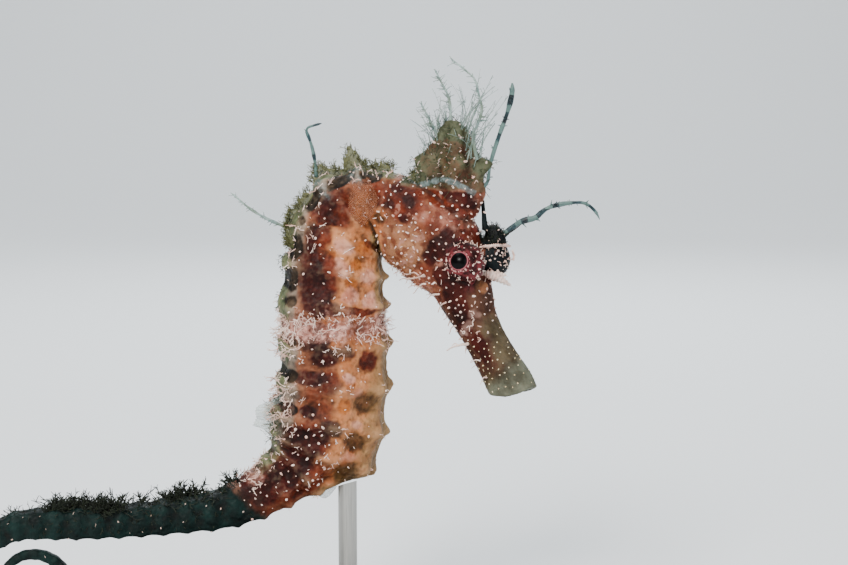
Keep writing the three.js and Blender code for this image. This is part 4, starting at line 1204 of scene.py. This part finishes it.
# White filaments: where, count, shortest, longest, thickness, twigs, how far they lie over, tone and bend.
SPROUTS = (
    # all over the trunk, then the pale band's back and edges
    (dict(u=(37, 77), h=(-3, 6)), 150, 0.3, 0.7, 0.06, 0, 0.8, 0.1),
    (dict(u=(49.5, 54), h=(5.0, FAR)), 60, 0.8, 1.9, 0.085, 3, 0.6, 0, CURLED),
    (dict(u=(52, 55), h=(2.0, 6)), 30, 0.6, 1.4, 0.08, 2, 0.88, 0, CURLED),
    (dict(u=(49.8, 52.5), h=(-FAR, -2.5)), 40, 0.6, 1.6, 0.08, 2, 0.75, 0, CURLED),
    # the saddle below the dorsal fin, the rump's back and the root of the tail
    (dict(u=(57.5, 66), h=(5.0, FAR)), 120, 0.8, 1.9, 0.085, 3, 0.65, 0, CURLED),
    (dict(u=(75.5, 79.5), h=(1.4, FAR)), 60, 0.6, 1.5, 0.08, 3, 0.7, 0, CURLED),
    (dict(u=(66, 76), h=(3.5, FAR)), 34, 0.5, 1.1, 0.075, 2, 0.7),
    (dict(u=(63, 70), h=(-2.0, 1.2)), 40, 0.4, 0.9, 0.075, 1, 0.8),
    # the neck: its arch, and a tangle behind the upper flank's dark patch
    (dict(u=(31, 37), h=(3.2, FAR)), 46, 0.6, 1.5, 0.075, 3, 0.6, 0.1, CURLED),
    (dict(u=(38, 41.5), h=(3.4, 6.8)), 40, 0.7, 1.6, 0.08, 3, 0.8, 0, CURLED),
    (dict(u=(39.5, 41.5), h=(0.5, 4)), 14, 1.2, 2.4, 0.09, 2, 0.95),
    (dict(u=(30.5, 34), h=(-1, 3.5)), 26, 0.5, 1.1, 0.07, 2, 0.8),
    (dict(u=(46.5, 50), h=(2, 6)), 34, 0.6, 1.5, 0.08, 2, 0.9, 0, CURLED),
    # the throat, cheek and snout
    (dict(u=(18, 30), p=(140, FAR)), 44, 0.6, 1.5, 0.085, 1, 0.6, 0, CURLED),
    (dict(u=(17, 24), h=(-4, 1)), 46, 0.5, 1.1, 0.07, 0, 0.97),
    (dict(u=(19.5, 24), h=(1, 4)), 26, 0.4, 0.9, 0.06, 0, 0.9),
    (dict(u=(3, 18), p=(138, FAR)), 30, 0.4, 1.0, 0.08, 1, 0.4),
    (dict(u=(12, 30), p=(20, FAR)), 60, 0.25, 0.5, 0.055, 0, 0.9, 0.2),
)


def filaments(coat):
    """Branching skin filaments on the rings' crests, the trunk's pale band, the dorsal edge and the head."""
    u, points, fronds = coat.u, coat.points, coat.fronds
    crest = np.abs(np.mod(ring_count(u), 1) - 0.5) < 0.13
    for angle, count in ((38, 40), (92, 40), (140, 14)):
        on_knob = crest & coat.within(u=(37, 78), p=(angle - 6, angle + 6))
        coat.sprout(fronds, on_knob, count, 0.5, 1.1, 0.07, 2, 0.5)
    # The pale band round the middle of the trunk, thickest on its back and along its lower edge.
    band = np.abs(u - 50.5 - 1.1 * noise_at(points, 0.4))
    upper = coat.within(p=(15, FAR))
    coat.sprout(fronds, (band < 1.7) & upper, 250, 0.9, 2.1, 0.085, 3, 0.93, 0, CURLED)
    coat.sprout(fronds, (band < 1.9) & upper, 170, 0.5, 1.1, 0.07, 1, 0.8, 0, CURLED)
    for where, *rest in SPROUTS:
        coat.sprout(fronds, coat.within(**where), *rest)
    coat.sprout(fronds, coat.masks["crown"] > 0.5, 70, 0.3, 0.9, 0.05, 2, 0.5, 0.3)

    for knots, thick in LONG_CIRRI:
        path = eased(knots, 4 * len(knots), 1)
        forward, _, _ = axes_at(knots[-1][0])
        path += forward * (0.13 * np.sin(np.linspace(0, 5.5, len(path)) + 9 * thick * len(path)))[:, None]
        i = coat.nearest(path[0])
        fronds.add(*tube(path, thick * np.linspace(1, 0.4, len(path)), sides=6), coat.uv(i))
    for at_u, at_phi in SNOUT_PAIRS:
        i = int(np.argmin((u - at_u) ** 2 + (turn_between(coat.phi, at_phi) * 0.07) ** 2))
        for _ in range(2):
            coat.grow(fronds, i, RNG.uniform(0.4, 0.8), 0.1, 1, 0.6, 0.2)

    # Short dashes stand out from the rim of each eye.
    for hand in (1, -1):
        axis = eye_axis(hand)
        off = points - eye_place(hand)
        around = off - np.outer(off @ axis, axis)
        reach = np.linalg.norm(around, axis=1)
        for near, far, count, size in ((1.35, 1.8, 24, (0.25, 0.5)), (1.8, 3.1, 76, (0.35, 0.95))):
            rim = np.flatnonzero((reach > near) & (reach < far) & (off @ axis > -1.2))
            for i in RNG.choice(rim, size=min(count, len(rim)), replace=False):
                long, tone = RNG.uniform(*size), RNG.uniform(0, 0.5)
                coat.grow(fronds, i, long, 0.07, 0, 0.85, tone, toward=around[i] / reach[i])


# The white ridge over the left eye, and the pronged fold under it: knots (u, up, out, radius).
STRIPS = (
    ((15.8, 2.7, 0.7, 0.4), (15.4, 3.2, 1.0, 0.72), (14.8, 3.5, 1.8, 0.62), (14.1, 3.6, 2.7, 0.42),
     (13.4, 3.6, 3.8, 0.16)),
    ((15.4, 3.3, 1.4, 0.3), (15.0, 3.7, 2.2, 0.5), (14.7, 4.1, 3.0, 0.16)),
    ((19.1, 3.7, 0.6, 0.12), (18.8, 4.5, 0.9, 0.2), (18.6, 5.0, 1.2, 0.22), (18.5, 5.3, 1.7, 0.24),
     (18.3, 5.6, 2.2, 0.22), (18.15, 5.8, 3.0, 0.22), (17.95, 5.7, 4.2, 0.14)),
    ((17.4, 5.6, 4.5, 0.1), (16.8, 5.4, 4.7, 0.15), (16.2, 5.0, 4.7, 0.1)),
)


def far_eye_trimmings(coat):
    """Lumpy white strips round the left eye, with short twigs."""
    uv = skin_uv(17, 70)
    for strip in STRIPS:
        path = eased([knot[:3] for knot in strip], 6 * len(strip), 3)
        at = np.linspace(0, len(strip) - 1, len(path))
        radii = np.interp(at, np.arange(len(strip)), [knot[3] for knot in strip])
        lumps = 1 + 0.25 * np.sin(np.arange(len(path)) * 1.9)
        coat.fronds.add(*tube(path, radii * lumps, sides=8, flat=0.6), uv)
        for k in range(2, len(path) - 1, 2):
            twig = curly(path[k], RNG.normal(size=3), RNG.uniform(0.25, 0.6), 0.6, 3)
            coat.fronds.add(*thread(twig, 0.07, 0.03), uv)


# More weed-like tufts, in the same columns as SPROUTS.
WEEDS = (
    (dict(u=(80, 106), p=(-FAR, 46)), 260, 0.5, 1.3, 0.08, 3, 0.6),
    (dict(u=(104, 132), p=(-FAR, 50)), 110, 0.5, 1.2, 0.07, 3, 0.55),
    (dict(u=(80, 108), p=(42, 120)), 190, 0.4, 1.0, 0.07, 3, 0.85),
    (dict(u=(61, 73), h=(6.0, FAR)), 80, 0.6, 1.6, 0.04, 3, 0.4, 0.6),
    (dict(u=(31, 60), p=(-FAR, 12)), 130, 0.4, 1.0, 0.04, 3, 0.5, 0.65),
)


def weeds(coat):
    """Weed-like tufts: green-black on the tail and brow, olive on the dorsal edge, fin's foot and coronet."""
    heap = coat.weeds
    clump = noise_at(coat.points, 0.28, (5, 5, 5))
    coat.sprout(heap, coat.within(u=(80, 106), p=(-FAR, 46)) & (clump > 0.05), 420, 1.0, 2.4, 0.09, 4, 0.5)
    for where, *rest in WEEDS:
        coat.sprout(heap, coat.within(**where), *rest)
    coat.sprout(heap, coat.masks["crown"] > 0.6, 420, 0.4, 1.3, 0.045, 3, 0.5, 0.8)
    coat.sprout(heap, distance(coat.points, spot(*BROW_LOBE)) < 1.9, 110, 0.4, 1.1, 0.045, 3, 0.5)
    i = coat.nearest(spot(19.4, 6.3, 3.7))
    twig = curly(coat.points[i], spot(19.25, 8.7, 4.0) - coat.points[i], 2.7, 0.3, 8)
    heap.add(*thread(twig, 0.13, 0.05, sides=6), coat.uv(i))


# ---------------------------------------------------------------- feelers, flaps and fins

# Feelers: root (u, up, out), first heading, yaw, thickness at root and tip, arcs (length, bend).
FEELERS = {
    "brow_feeler": dict(on=(19.5, 5.3, 3.9), heading=48, yaw=6, thick=(0.5, 0.2),
                        arcs=((2.2, -12), (2.2, -28), (1.2, 40), (2.2, -32), (3.4, -16), (1.2, -34),
                              (2.6, -40))),
    "crown_streamer": dict(on=(22.95, 8.2, 0.52), heading=35, yaw=14, thick=(0.22, 0.4),
                           arcs=((1.8, 50), (3, -12), (4.2, -4), (3.4, 10), (1.9, 20))),
    "crown_feeler_1": dict(on=(24.5, 11.6, -0.6), heading=104, yaw=20, thick=(0.26, 0.1),
                           arcs=((1.8, -10), (1.2, -32), (1.8, 10), (1.8, 36), (2, -8), (1.6, 40),
                                 (2.8, 4), (1.2, -24))),
    "crown_feeler_2": dict(on=(26.8, 12.9, 0), heading=84, yaw=24, thick=(0.28, 0.1),
                           arcs=((2.6, 14), (2, 24), (3.2, -6))),
    "crown_feeler_3": dict(on=(27.3, 10.7, 0.4), heading=128, yaw=24, thick=(0.28, 0.1),
                           arcs=((2, -14), (2.2, 10), (1.4, -30))),
    "neck_feeler": dict(on=(35.7, 8.3, 0), heading=94, yaw=0, thick=(0.3, 0.18),
                        arcs=((2.9, 10), (2, 10), (1, -96), (1.9, -6))),
    "back_feeler": dict(on=(39.75, 6.8, 1.15), heading=160, yaw=-10, thick=(0.28, 0.14),
                        arcs=((4.3, -10), (3.4, -14), (1.7, 8))),
}
FEELER_SIDES = 10


FEELER_STEP, FEELER_SUNK = 0.16, 0.9  # spacing of its points, and how deep its root is sunk


def long_feeler(name, bands, twigs, twig_length, material):
    """A feeler as in the solids, with rough thickness, bands of colour and short twigs."""
    spec = FEELERS[name]
    arcs = [(length, bend, spec["yaw"]) for length, bend in spec["arcs"]]
    path, ahead, _, left = walk(spot(*spec["on"]), spec["heading"], spec["yaw"], arcs, FEELER_STEP)
    path = np.concatenate([[path[0] - ahead[0] * FEELER_SUNK], path])
    share = np.linspace(0, 1, len(path))
    knots = np.array([noise.noise(Vector((s * 9, len(name), 1.7))) for s in share])
    thick = spec["thick"][0] + (spec["thick"][1] - spec["thick"][0]) * share
    thick = thick * (0.86 + 0.3 * knots) * np.minimum(1, (1.02 - share) * 12)
    thick = np.maximum(thick, 0.04)
    stripes = 0.5 + 0.5 * np.sin(2 * math.pi * bands * share + 1.5 * knots)
    if name == "crown_streamer":
        plain = 1 - smooth(0.42, 0.6, share)
        stripes = np.maximum(stripes * (1 - plain) + 0.62 * plain, smooth(0.86, 0.93, share))
    heap = Heap()
    stem = tube(path, thick, sides=FEELER_SIDES, flat=0.8, across=left[0])
    heap.add(*stem, tone=np.repeat(stripes, FEELER_SIDES))
    for _ in range(twigs):
        i = int(RNG.uniform(0.12, 0.96) * (len(path) - 2)) + 1
        way = unit(path[i] - path[i - 1])
        sideways = RNG.normal(size=3)
        sideways = unit(sideways - way * (sideways @ way))
        long = RNG.uniform(0.3, 1.0) * twig_length
        twig = curly(path[i], way * 0.5 + sideways, long, RNG.uniform(0.1, 0.9), 5)
        heap.add(*thread(twig, thick[i] * 0.38 + 0.02, 0.03, sides=5), tone=stripes[i])
    dress(heap.build("feeler_" + name), material, "skin_flap", name)


VEIL = dict(threads=80, points=13, twigs=4, top=17.0)  # top: the height that no thread grows past


def veil(material):
    """The fringe of fine, clear filaments over the coronet."""
    start, upward, down, left = coronet_frame()
    heap = Heap()
    for k in range(VEIL["threads"]):
        w = RNG.normal(0, 0.5) + (math.pi if k % 2 else 0)
        high = RNG.uniform(3.8, 9.4)
        wide, thin = (float(width(high)) for width in CORONET_WIDTHS[:2])
        root = start + upward * high - down * (0.3 + 0.85 * wide * math.cos(w))
        root = root + left * 0.85 * thin * math.sin(w)
        rise = min(RNG.uniform(1.5, 5.5) if k % 4 else RNG.uniform(5.0, 9.0), VEIL["top"] - high)
        way = upward + 0.3 * (-down * math.cos(w)) + 0.5 * left * RNG.normal() + 0.15 * RNG.normal(size=3)
        path = curly(root, way, rise, RNG.uniform(0.1, 0.9), VEIL["points"] - 1)
        thick = RNG.uniform(0.035, 0.085)
        wave = 1 + 0.4 * np.sin(np.linspace(0, 9, len(path)) + k)
        tone = RNG.uniform(0, 1)
        heap.add(*tube(path, np.linspace(thick, 0.03, len(path)) * wave, sides=5, flat=0.6), tone=tone)
        for _ in range(VEIL["twigs"]):
            i = int(RNG.integers(3, 12))
            twig = curly(path[i], way + RNG.normal(size=3) * 0.8, RNG.uniform(0.3, 1.1), 0.6, 4)
            heap.add(*thread(twig, thick * 0.6, 0.025), tone=tone)
    dress(heap.build("crown_veil"), material, "skin_flap")


# Flaps and single fins: span along the midline, angle round it, thickness, least height (base), lean
# forwards, and lobes (u, height, half-width).
FLAPS = {
    "mane_front": dict(span=(26.6, 29.6), angle=0, thick=0.34, base=0.5, lean=-0.35, lobes=((28, 5.2, 0.8),)),
    "mane_middle": dict(span=(31.2, 36.4), angle=0, thick=0.34, base=0.6, lean=0,
                        lobes=((32.4, 1.7, 0.7), (33.8, 3.5, 0.35), (35.3, 2, 0.6))),
    "mane_rear": dict(span=(36.6, 41.4), angle=0, thick=0.34, base=0.5, lean=0,
                      lobes=((37.2, 1.4, 0.5), (38.4, 1, 0.5), (40, 0.7, 0.7))),
    "dorsal_fin": dict(span=(60.4, 70.6), angle=0, thick=0.2, base=0.3, lean=0, lobes=((66, 2.5, 3),)),
    "anal_fin": dict(span=(69.9, 71.6), angle=180, thick=0.2, base=0.2, lean=0, lobes=((70.8, 0.8, 0.5),)),
}
MANE = ("mane_front", "mane_middle", "mane_rear")


COLUMN, SUNK = 0.07, 0.5  # width of a flap's columns, and how deep its foot is sunk


def flap_piece(name, material, slot, rays=0, ragged=0.0):
    """A flap with a frayed edge, or a fin with rays, that stands on the skin."""
    spec = FLAPS[name]
    lo, hi = spec["span"]
    columns, rows = max(int((hi - lo) / COLUMN), 16), 16
    us = np.linspace(lo, hi, columns)
    share = np.linspace(0, 1, columns)
    ray = np.abs(np.sin(math.pi * rays * share))
    high = np.full(columns, spec["base"])
    for at, top, wide in spec["lobes"]:
        high = np.maximum(high, top * hump(us - at, wide))
    if ragged:
        broad = np.array([noise.noise(Vector((q * 3.1, 4.2, 0))) for q in us])
        fine = np.array([noise.noise(Vector((q * 8.5, 1.2, 0))) for q in us])
        high = high * (1 - ragged * np.clip(0.5 + (broad + 0.5 * fine), 0, 1))
    if rays:
        high = high * (0.94 + 0.06 * ray)
    high = 0.1 + high * (smooth(0, 0.12, share) * smooth(0, 0.12, 1 - share))
    _, _, _, left = frame_at(us)
    points, tone = [], []
    for face in (-1, 1):
        for r in range(rows + 1):
            t = r / rows
            lift = -SUNK * (1 - t) + high * t
            middle = skin_point(np.clip(us + spec["lean"] * high * t, 0, BODY_END), spec["angle"], lift)
            thick = spec["thick"] * (0.5 - 0.33 * t) + 0.03 * ray * (1 - t)
            sway = 0.22 * t * np.sin(us * 2.1 + 1.3) * np.minimum(high, 2)
            points.append(middle + left * (face * thick + sway)[:, None])
            tone.append(ray**6 if rays else np.full(columns, t * 0.8))
    obj = mesh_object(name + "_skin", np.concatenate(points), slab_faces(rows, columns))
    add_attribute(obj, "tone", np.concatenate(tone))
    face_outwards(obj)
    dress(obj, material, slot, name)


FRINGE_COUNT = 55  # threads on each millimetre of a flap


def mane_fringe(names, material):
    """Loose threads that fray the edges of the flaps on the neck."""
    heap = Heap()
    for name in names:
        spec = FLAPS[name]
        lo, hi = spec["span"]
        for _ in range(int(FRINGE_COUNT * (hi - lo))):
            u = RNG.uniform(lo + 0.1, hi - 0.1)
            high = max([spec["base"]] + [top * float(hump(u - at, wide)) for at, top, wide in spec["lobes"]])
            lift = high * RNG.uniform(0.1, 0.85)
            root = skin_point(u + spec["lean"] * lift, spec["angle"], lift)
            forward, up, left = axes_at(u)
            way = up + 0.7 * forward * RNG.normal() + 0.7 * left * RNG.normal()
            path = curly(root, way, RNG.uniform(0.4, 1.2), RNG.uniform(0.2, 1.6))
            thick = RNG.uniform(0.035, 0.075)
            heap.add(*thread(path, thick, 0.025), skin_uv(u, 0), RNG.uniform(0, 1))
            for _ in range(2):
                k = int(RNG.integers(2, 6))
                twig = curly(path[k], way + 0.8 * RNG.normal(size=3), RNG.uniform(0.2, 0.6), 0.6, 3)
                heap.add(*thread(twig, thick * 0.7, 0.02), skin_uv(u, 0), RNG.uniform(0, 1))
    dress(heap.build("mane_fringe"), material, "skin_flap")


# The pectoral fins: place, rays, length, spread and flare in degrees, and the gap to the skin.
PECTORAL = dict(u=31.6, up=1.2, rays=14, length=4.4, spread=120, flare=26, clear=0.35)


def pectoral(hand, material):
    """A fan of fine rays that stands off the neck behind the gill cover."""
    u, up, rays, length, spread, flare, clear = PECTORAL.values()
    forward, upwards, left = axes_at(u)
    f = math.radians(flare)
    along = forward * math.cos(f) + left * hand * math.sin(f)
    across = np.cross(along, upwards)
    origin = spot(u, up, hand * (float(side(u)) + clear))
    columns, rows = rays * 8 + 1, 20
    points, tone = [], []
    for face in (-1, 1):
        for r in range(rows + 1):
            t = r / rows
            for c in range(columns):
                s = c / (columns - 1)
                w = math.radians(-spread / 2 + spread * s)
                ray = abs(math.sin(math.pi * rays * s))
                reach = length * (0.72 + 0.28 * math.cos(w)) * (0.95 + 0.05 * ray) * (0.12 + 0.86 * t)
                curve = -0.35 * t * t * (1 - 0.5 * math.cos(w))
                thick = (0.045 + 0.05 * ray**8) * (1 - 0.6 * t)
                p = origin + along * reach * math.cos(w) + upwards * (reach * math.sin(w))
                points.append(p + across * (0.25 + curve * 0.2 + face * thick + 0.05 * t * math.sin(9 * s)))
                tone.append(ray**10)
    word = "left" if hand > 0 else "right"
    obj = mesh_object("pectoral_" + word + "_membrane", points, slab_faces(rows, columns))
    add_attribute(obj, "tone", tone)
    face_outwards(obj)
    dress(obj, material, "fin", "pectoral_fin_" + word)


def eyeball(hand, material):
    """A ball with a low cornea. Its attributes: the angle from the pupil's middle, and the iris's dashes."""
    eye, axis = eye_place(hand), eye_axis(hand)
    a, b = square_to(axis, [0.1, 0.2, 0.97])
    rows, sides = 90, 180
    strokes = []  # each one's angle round the axis, half-width, first reach and length
    for q in np.arange(0, 360, 15):
        strokes.append((q + RNG.normal() * 4, RNG.uniform(2.2, 4.5),
                        PUPIL + RNG.uniform(0.08, 0.2), RNG.uniform(0.15, 0.4)))

    def stroke(q, w, at, wide, first, long):
        within = smooth(0, 0.05, w - first) * (1 - smooth(long - 0.05, long, w - first))
        return float(hump(turn_between(q, at), wide)) * float(within)

    points, reach, dash = [], [], []
    for i in range(rows + 1):
        w = math.pi * i / rows
        radius = EYE["radius"] * (1 + 0.05 * math.exp(-((w / 0.5) ** 2)))
        for j in range(sides):
            q = 360 * j / sides
            out = math.cos(math.radians(q)) * a + math.sin(math.radians(q)) * b
            points.append(eye + radius * (axis * math.cos(w) + out * math.sin(w)))
            reach.append(w)
            dash.append(max(stroke(q, w, *each) for each in strokes))
    word = "left" if hand > 0 else "right"
    obj = mesh_object("eyeball_" + word, points, tube_faces(rows + 1, sides, close_ends=False))
    add_attribute(obj, "reach", reach)
    add_attribute(obj, "dash", dash)
    face_outwards(obj, merge=1e-7)
    dress(obj, material, "eye", "eye_" + word)


# ---------------------------------------------------------------- floor, light and camera


def area_light(name, place, size, power, colour, aim=(0.012, 0, 0.055)):
    light = bpy.data.lights.new(name, "AREA")
    light.size, light.energy, light.color = size, power, colour
    obj = place_in_scene(name, light)
    obj.location = place
    obj.rotation_euler = (Vector(aim) - Vector(place)).to_track_quat("-Z", "Y").to_euler()


# The floor, in metres: front edge, where it turns up, the turn's radius, the wall's top, half-width.
FRONT, TURN, ROUND, TOP, HALF = -1.6, 0.9, 0.8, 2.6, 2.6


def stage():
    """A pale floor that curves up into a wall, and plain studio light. All in metres."""
    turns = np.linspace(0, math.pi / 2, 24)
    curve = [(TURN + ROUND * math.sin(a), ROUND - ROUND * math.cos(a)) for a in turns]
    profile = [(FRONT, 0.0)] + curve + [(TURN + ROUND, TOP)]
    mesh = bpy.data.meshes.new("floor")
    points = [(x, y, z) for y, z in profile for x in (-HALF, HALF)]
    mesh.from_pydata(points, [], [(2 * i, 2 * i + 1, 2 * i + 3, 2 * i + 2) for i in range(len(profile) - 1)])
    mesh.polygons.foreach_set("use_smooth", [True] * len(mesh.polygons))
    mesh.materials.append(Nodes("floor", Base_Color=rgb("#e9ecee"), Roughness=0.8).material)
    floor = place_in_scene("floor", mesh)

    world = bpy.data.worlds.new("studio")
    bpy.context.scene.world = world
    world.use_nodes = True
    background = world.node_tree.nodes["Background"]
    background.inputs[0].default_value = (0.86, 0.92, 0.96, 1)
    background.inputs[1].default_value = 0.3
    area_light("key", (-0.16, -0.4, 0.4), 0.2, 4.8, (1.0, 0.97, 0.93))
    area_light("fill", (0.42, -0.34, 0.2), 0.4, 1.0, (0.95, 0.98, 1.0))
    area_light("rim", (0.05, 0.4, 0.36), 0.3, 1.6, (0.9, 0.96, 1.0))
    area_light("wall", (0.0, 0.6, 1.3), 1.2, 22.0, (0.95, 0.98, 1.0), (0.0, 1.5, 0.3))


LENS, SENSOR, TILT = 60, 36, 7  # millimetres, and degrees that the view looks down
PHOTO = (848, 565)  # pixels
PIXEL = 0.13  # millimetres that one of them shows at the animal's distance
ANCHOR, ANCHOR_PIXEL = (0, 8.5), (310, 640)  # an x and z, and the pixel below the photograph's edge for it


def camera():
    """The photograph's view, aimed at the point of the plane y = 0 that its middle pixel stands for."""
    width, height = PHOTO
    focal = width * LENS / SENSOR
    target = np.array([ANCHOR[0] + (width / 2 - ANCHOR_PIXEL[0]) * PIXEL, 0,
                       ANCHOR[1] + (ANCHOR_PIXEL[1] - height / 2) * PIXEL])
    tilt = math.radians(TILT)
    ahead = np.array([0, math.cos(tilt), -math.sin(tilt)])
    data = bpy.data.cameras.new("camera")
    data.lens, data.sensor_width, data.sensor_fit = LENS, SENSOR, "HORIZONTAL"
    data.clip_start = 0.005
    obj = place_in_scene("camera", data)
    obj.location = ((target - ahead * focal * PIXEL) * MM).tolist()
    obj.rotation_euler = (math.pi / 2 - tilt, 0, 0)
    bpy.context.scene.camera = obj


# ---------------------------------------------------------------- putting it together

SKIN_NODES = [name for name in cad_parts
              if name in ("head", "snout", "neck", "coronet") or name.startswith(("trunk_", "tail_"))]

camera()
stage()

skin = build_skin()
points = vertex_vectors(skin, "co")
around = neighbour_mean(skin, len(points))
u, phi, h = body_coordinates(points, around)
masks = marks_of(u, phi, h, points)
points = sink(points, vertex_vectors(skin, "normal"), masks)
move_vertices(skin, points)
normals = vertex_vectors(skin, "normal")
for name, value in masks.items():
    add_attribute(skin, name, value)
add_attribute(skin, "cavity", cavity_of(points, normals, around))
move_vertices(skin, points * MM)
dress(skin, skin_material(), "body_skin", *SKIN_NODES)

coat = Coat(points, normals, u, phi, h, masks)
papillae(coat)
filaments(coat)
far_eye_trimmings(coat)
weeds(coat)

white = flesh_material("white_tufts", "#d6aa9a", "#f6e0d4", "#a5806a")
cream = flesh_material("cream_dots", "#cdb68a", "#efe2bd", "#b9935e")
green = flesh_material("dark_weed", "#020402", "#0d160c", "#4e5a3a", rough=0.7)
olive = flesh_material("olive_flap", "#3a3c20", "#6a6a42", "#7e8058", alpha=0.72)
clear = flesh_material("clear_strand", "#52706e", "#a8bcb6", "#4c5a30", alpha=0.7, rough=0.4)
banded = flesh_material("banded_feeler", "#06141a", "#1c3a40", "#6f8a82", alpha=0.9, rough=0.45, banded=True)
membrane = flesh_material("fin_membrane", "#93a59f", "#b9c8c2", "#dfe6e0", alpha=0.34, rough=0.35)
thin_membrane = flesh_material("pectoral_membrane", "#6c3822", "#94583a", "#a06c4e", alpha=0.3)

for heap, name, material in (
    (coat.dots, "white_papillae", white),
    (coat.tips, "snout_dots", cream),
    (coat.fronds, "white_cirri", white),
    (coat.weeds, "dark_tufts", green),
):
    dress(heap.build(name), material, "skin_flap")

eyeball(-1, eye_material("#2c0508", "#641826", "#9a565c", "#dca49c"))
eyeball(1, eye_material("#010406", "#06181a", "#1b3a3a", "#b9c4b8"))
for name, bands, twigs, long, material in (
    ("brow_feeler", 6.5, 26, 1.2, banded),
    ("crown_streamer", 5.5, 20, 1.0, banded),
    ("crown_feeler_1", 3, 60, 1.3, clear),
    ("crown_feeler_2", 3, 44, 1.3, clear),
    ("crown_feeler_3", 3, 36, 1.2, clear),
    ("neck_feeler", 3, 6, 0.5, banded),
    ("back_feeler", 2, 26, 0.9, clear),
):
    long_feeler(name, bands, twigs, long, material)
veil(clear)
for name in MANE:
    flap_piece(name, olive, "skin_flap", ragged=0.6)
mane_fringe(MANE, olive)
flap_piece("dorsal_fin", membrane, "fin", rays=18)
flap_piece("anal_fin", membrane, "fin", rays=4)
pectoral(1, thin_membrane)
pectoral(-1, thin_membrane)

for node, material in zip(("stand_base", "stand_rod"), stand_materials()):
    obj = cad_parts[node]
    obj.data.materials.clear()
    obj.data.materials.append(material)
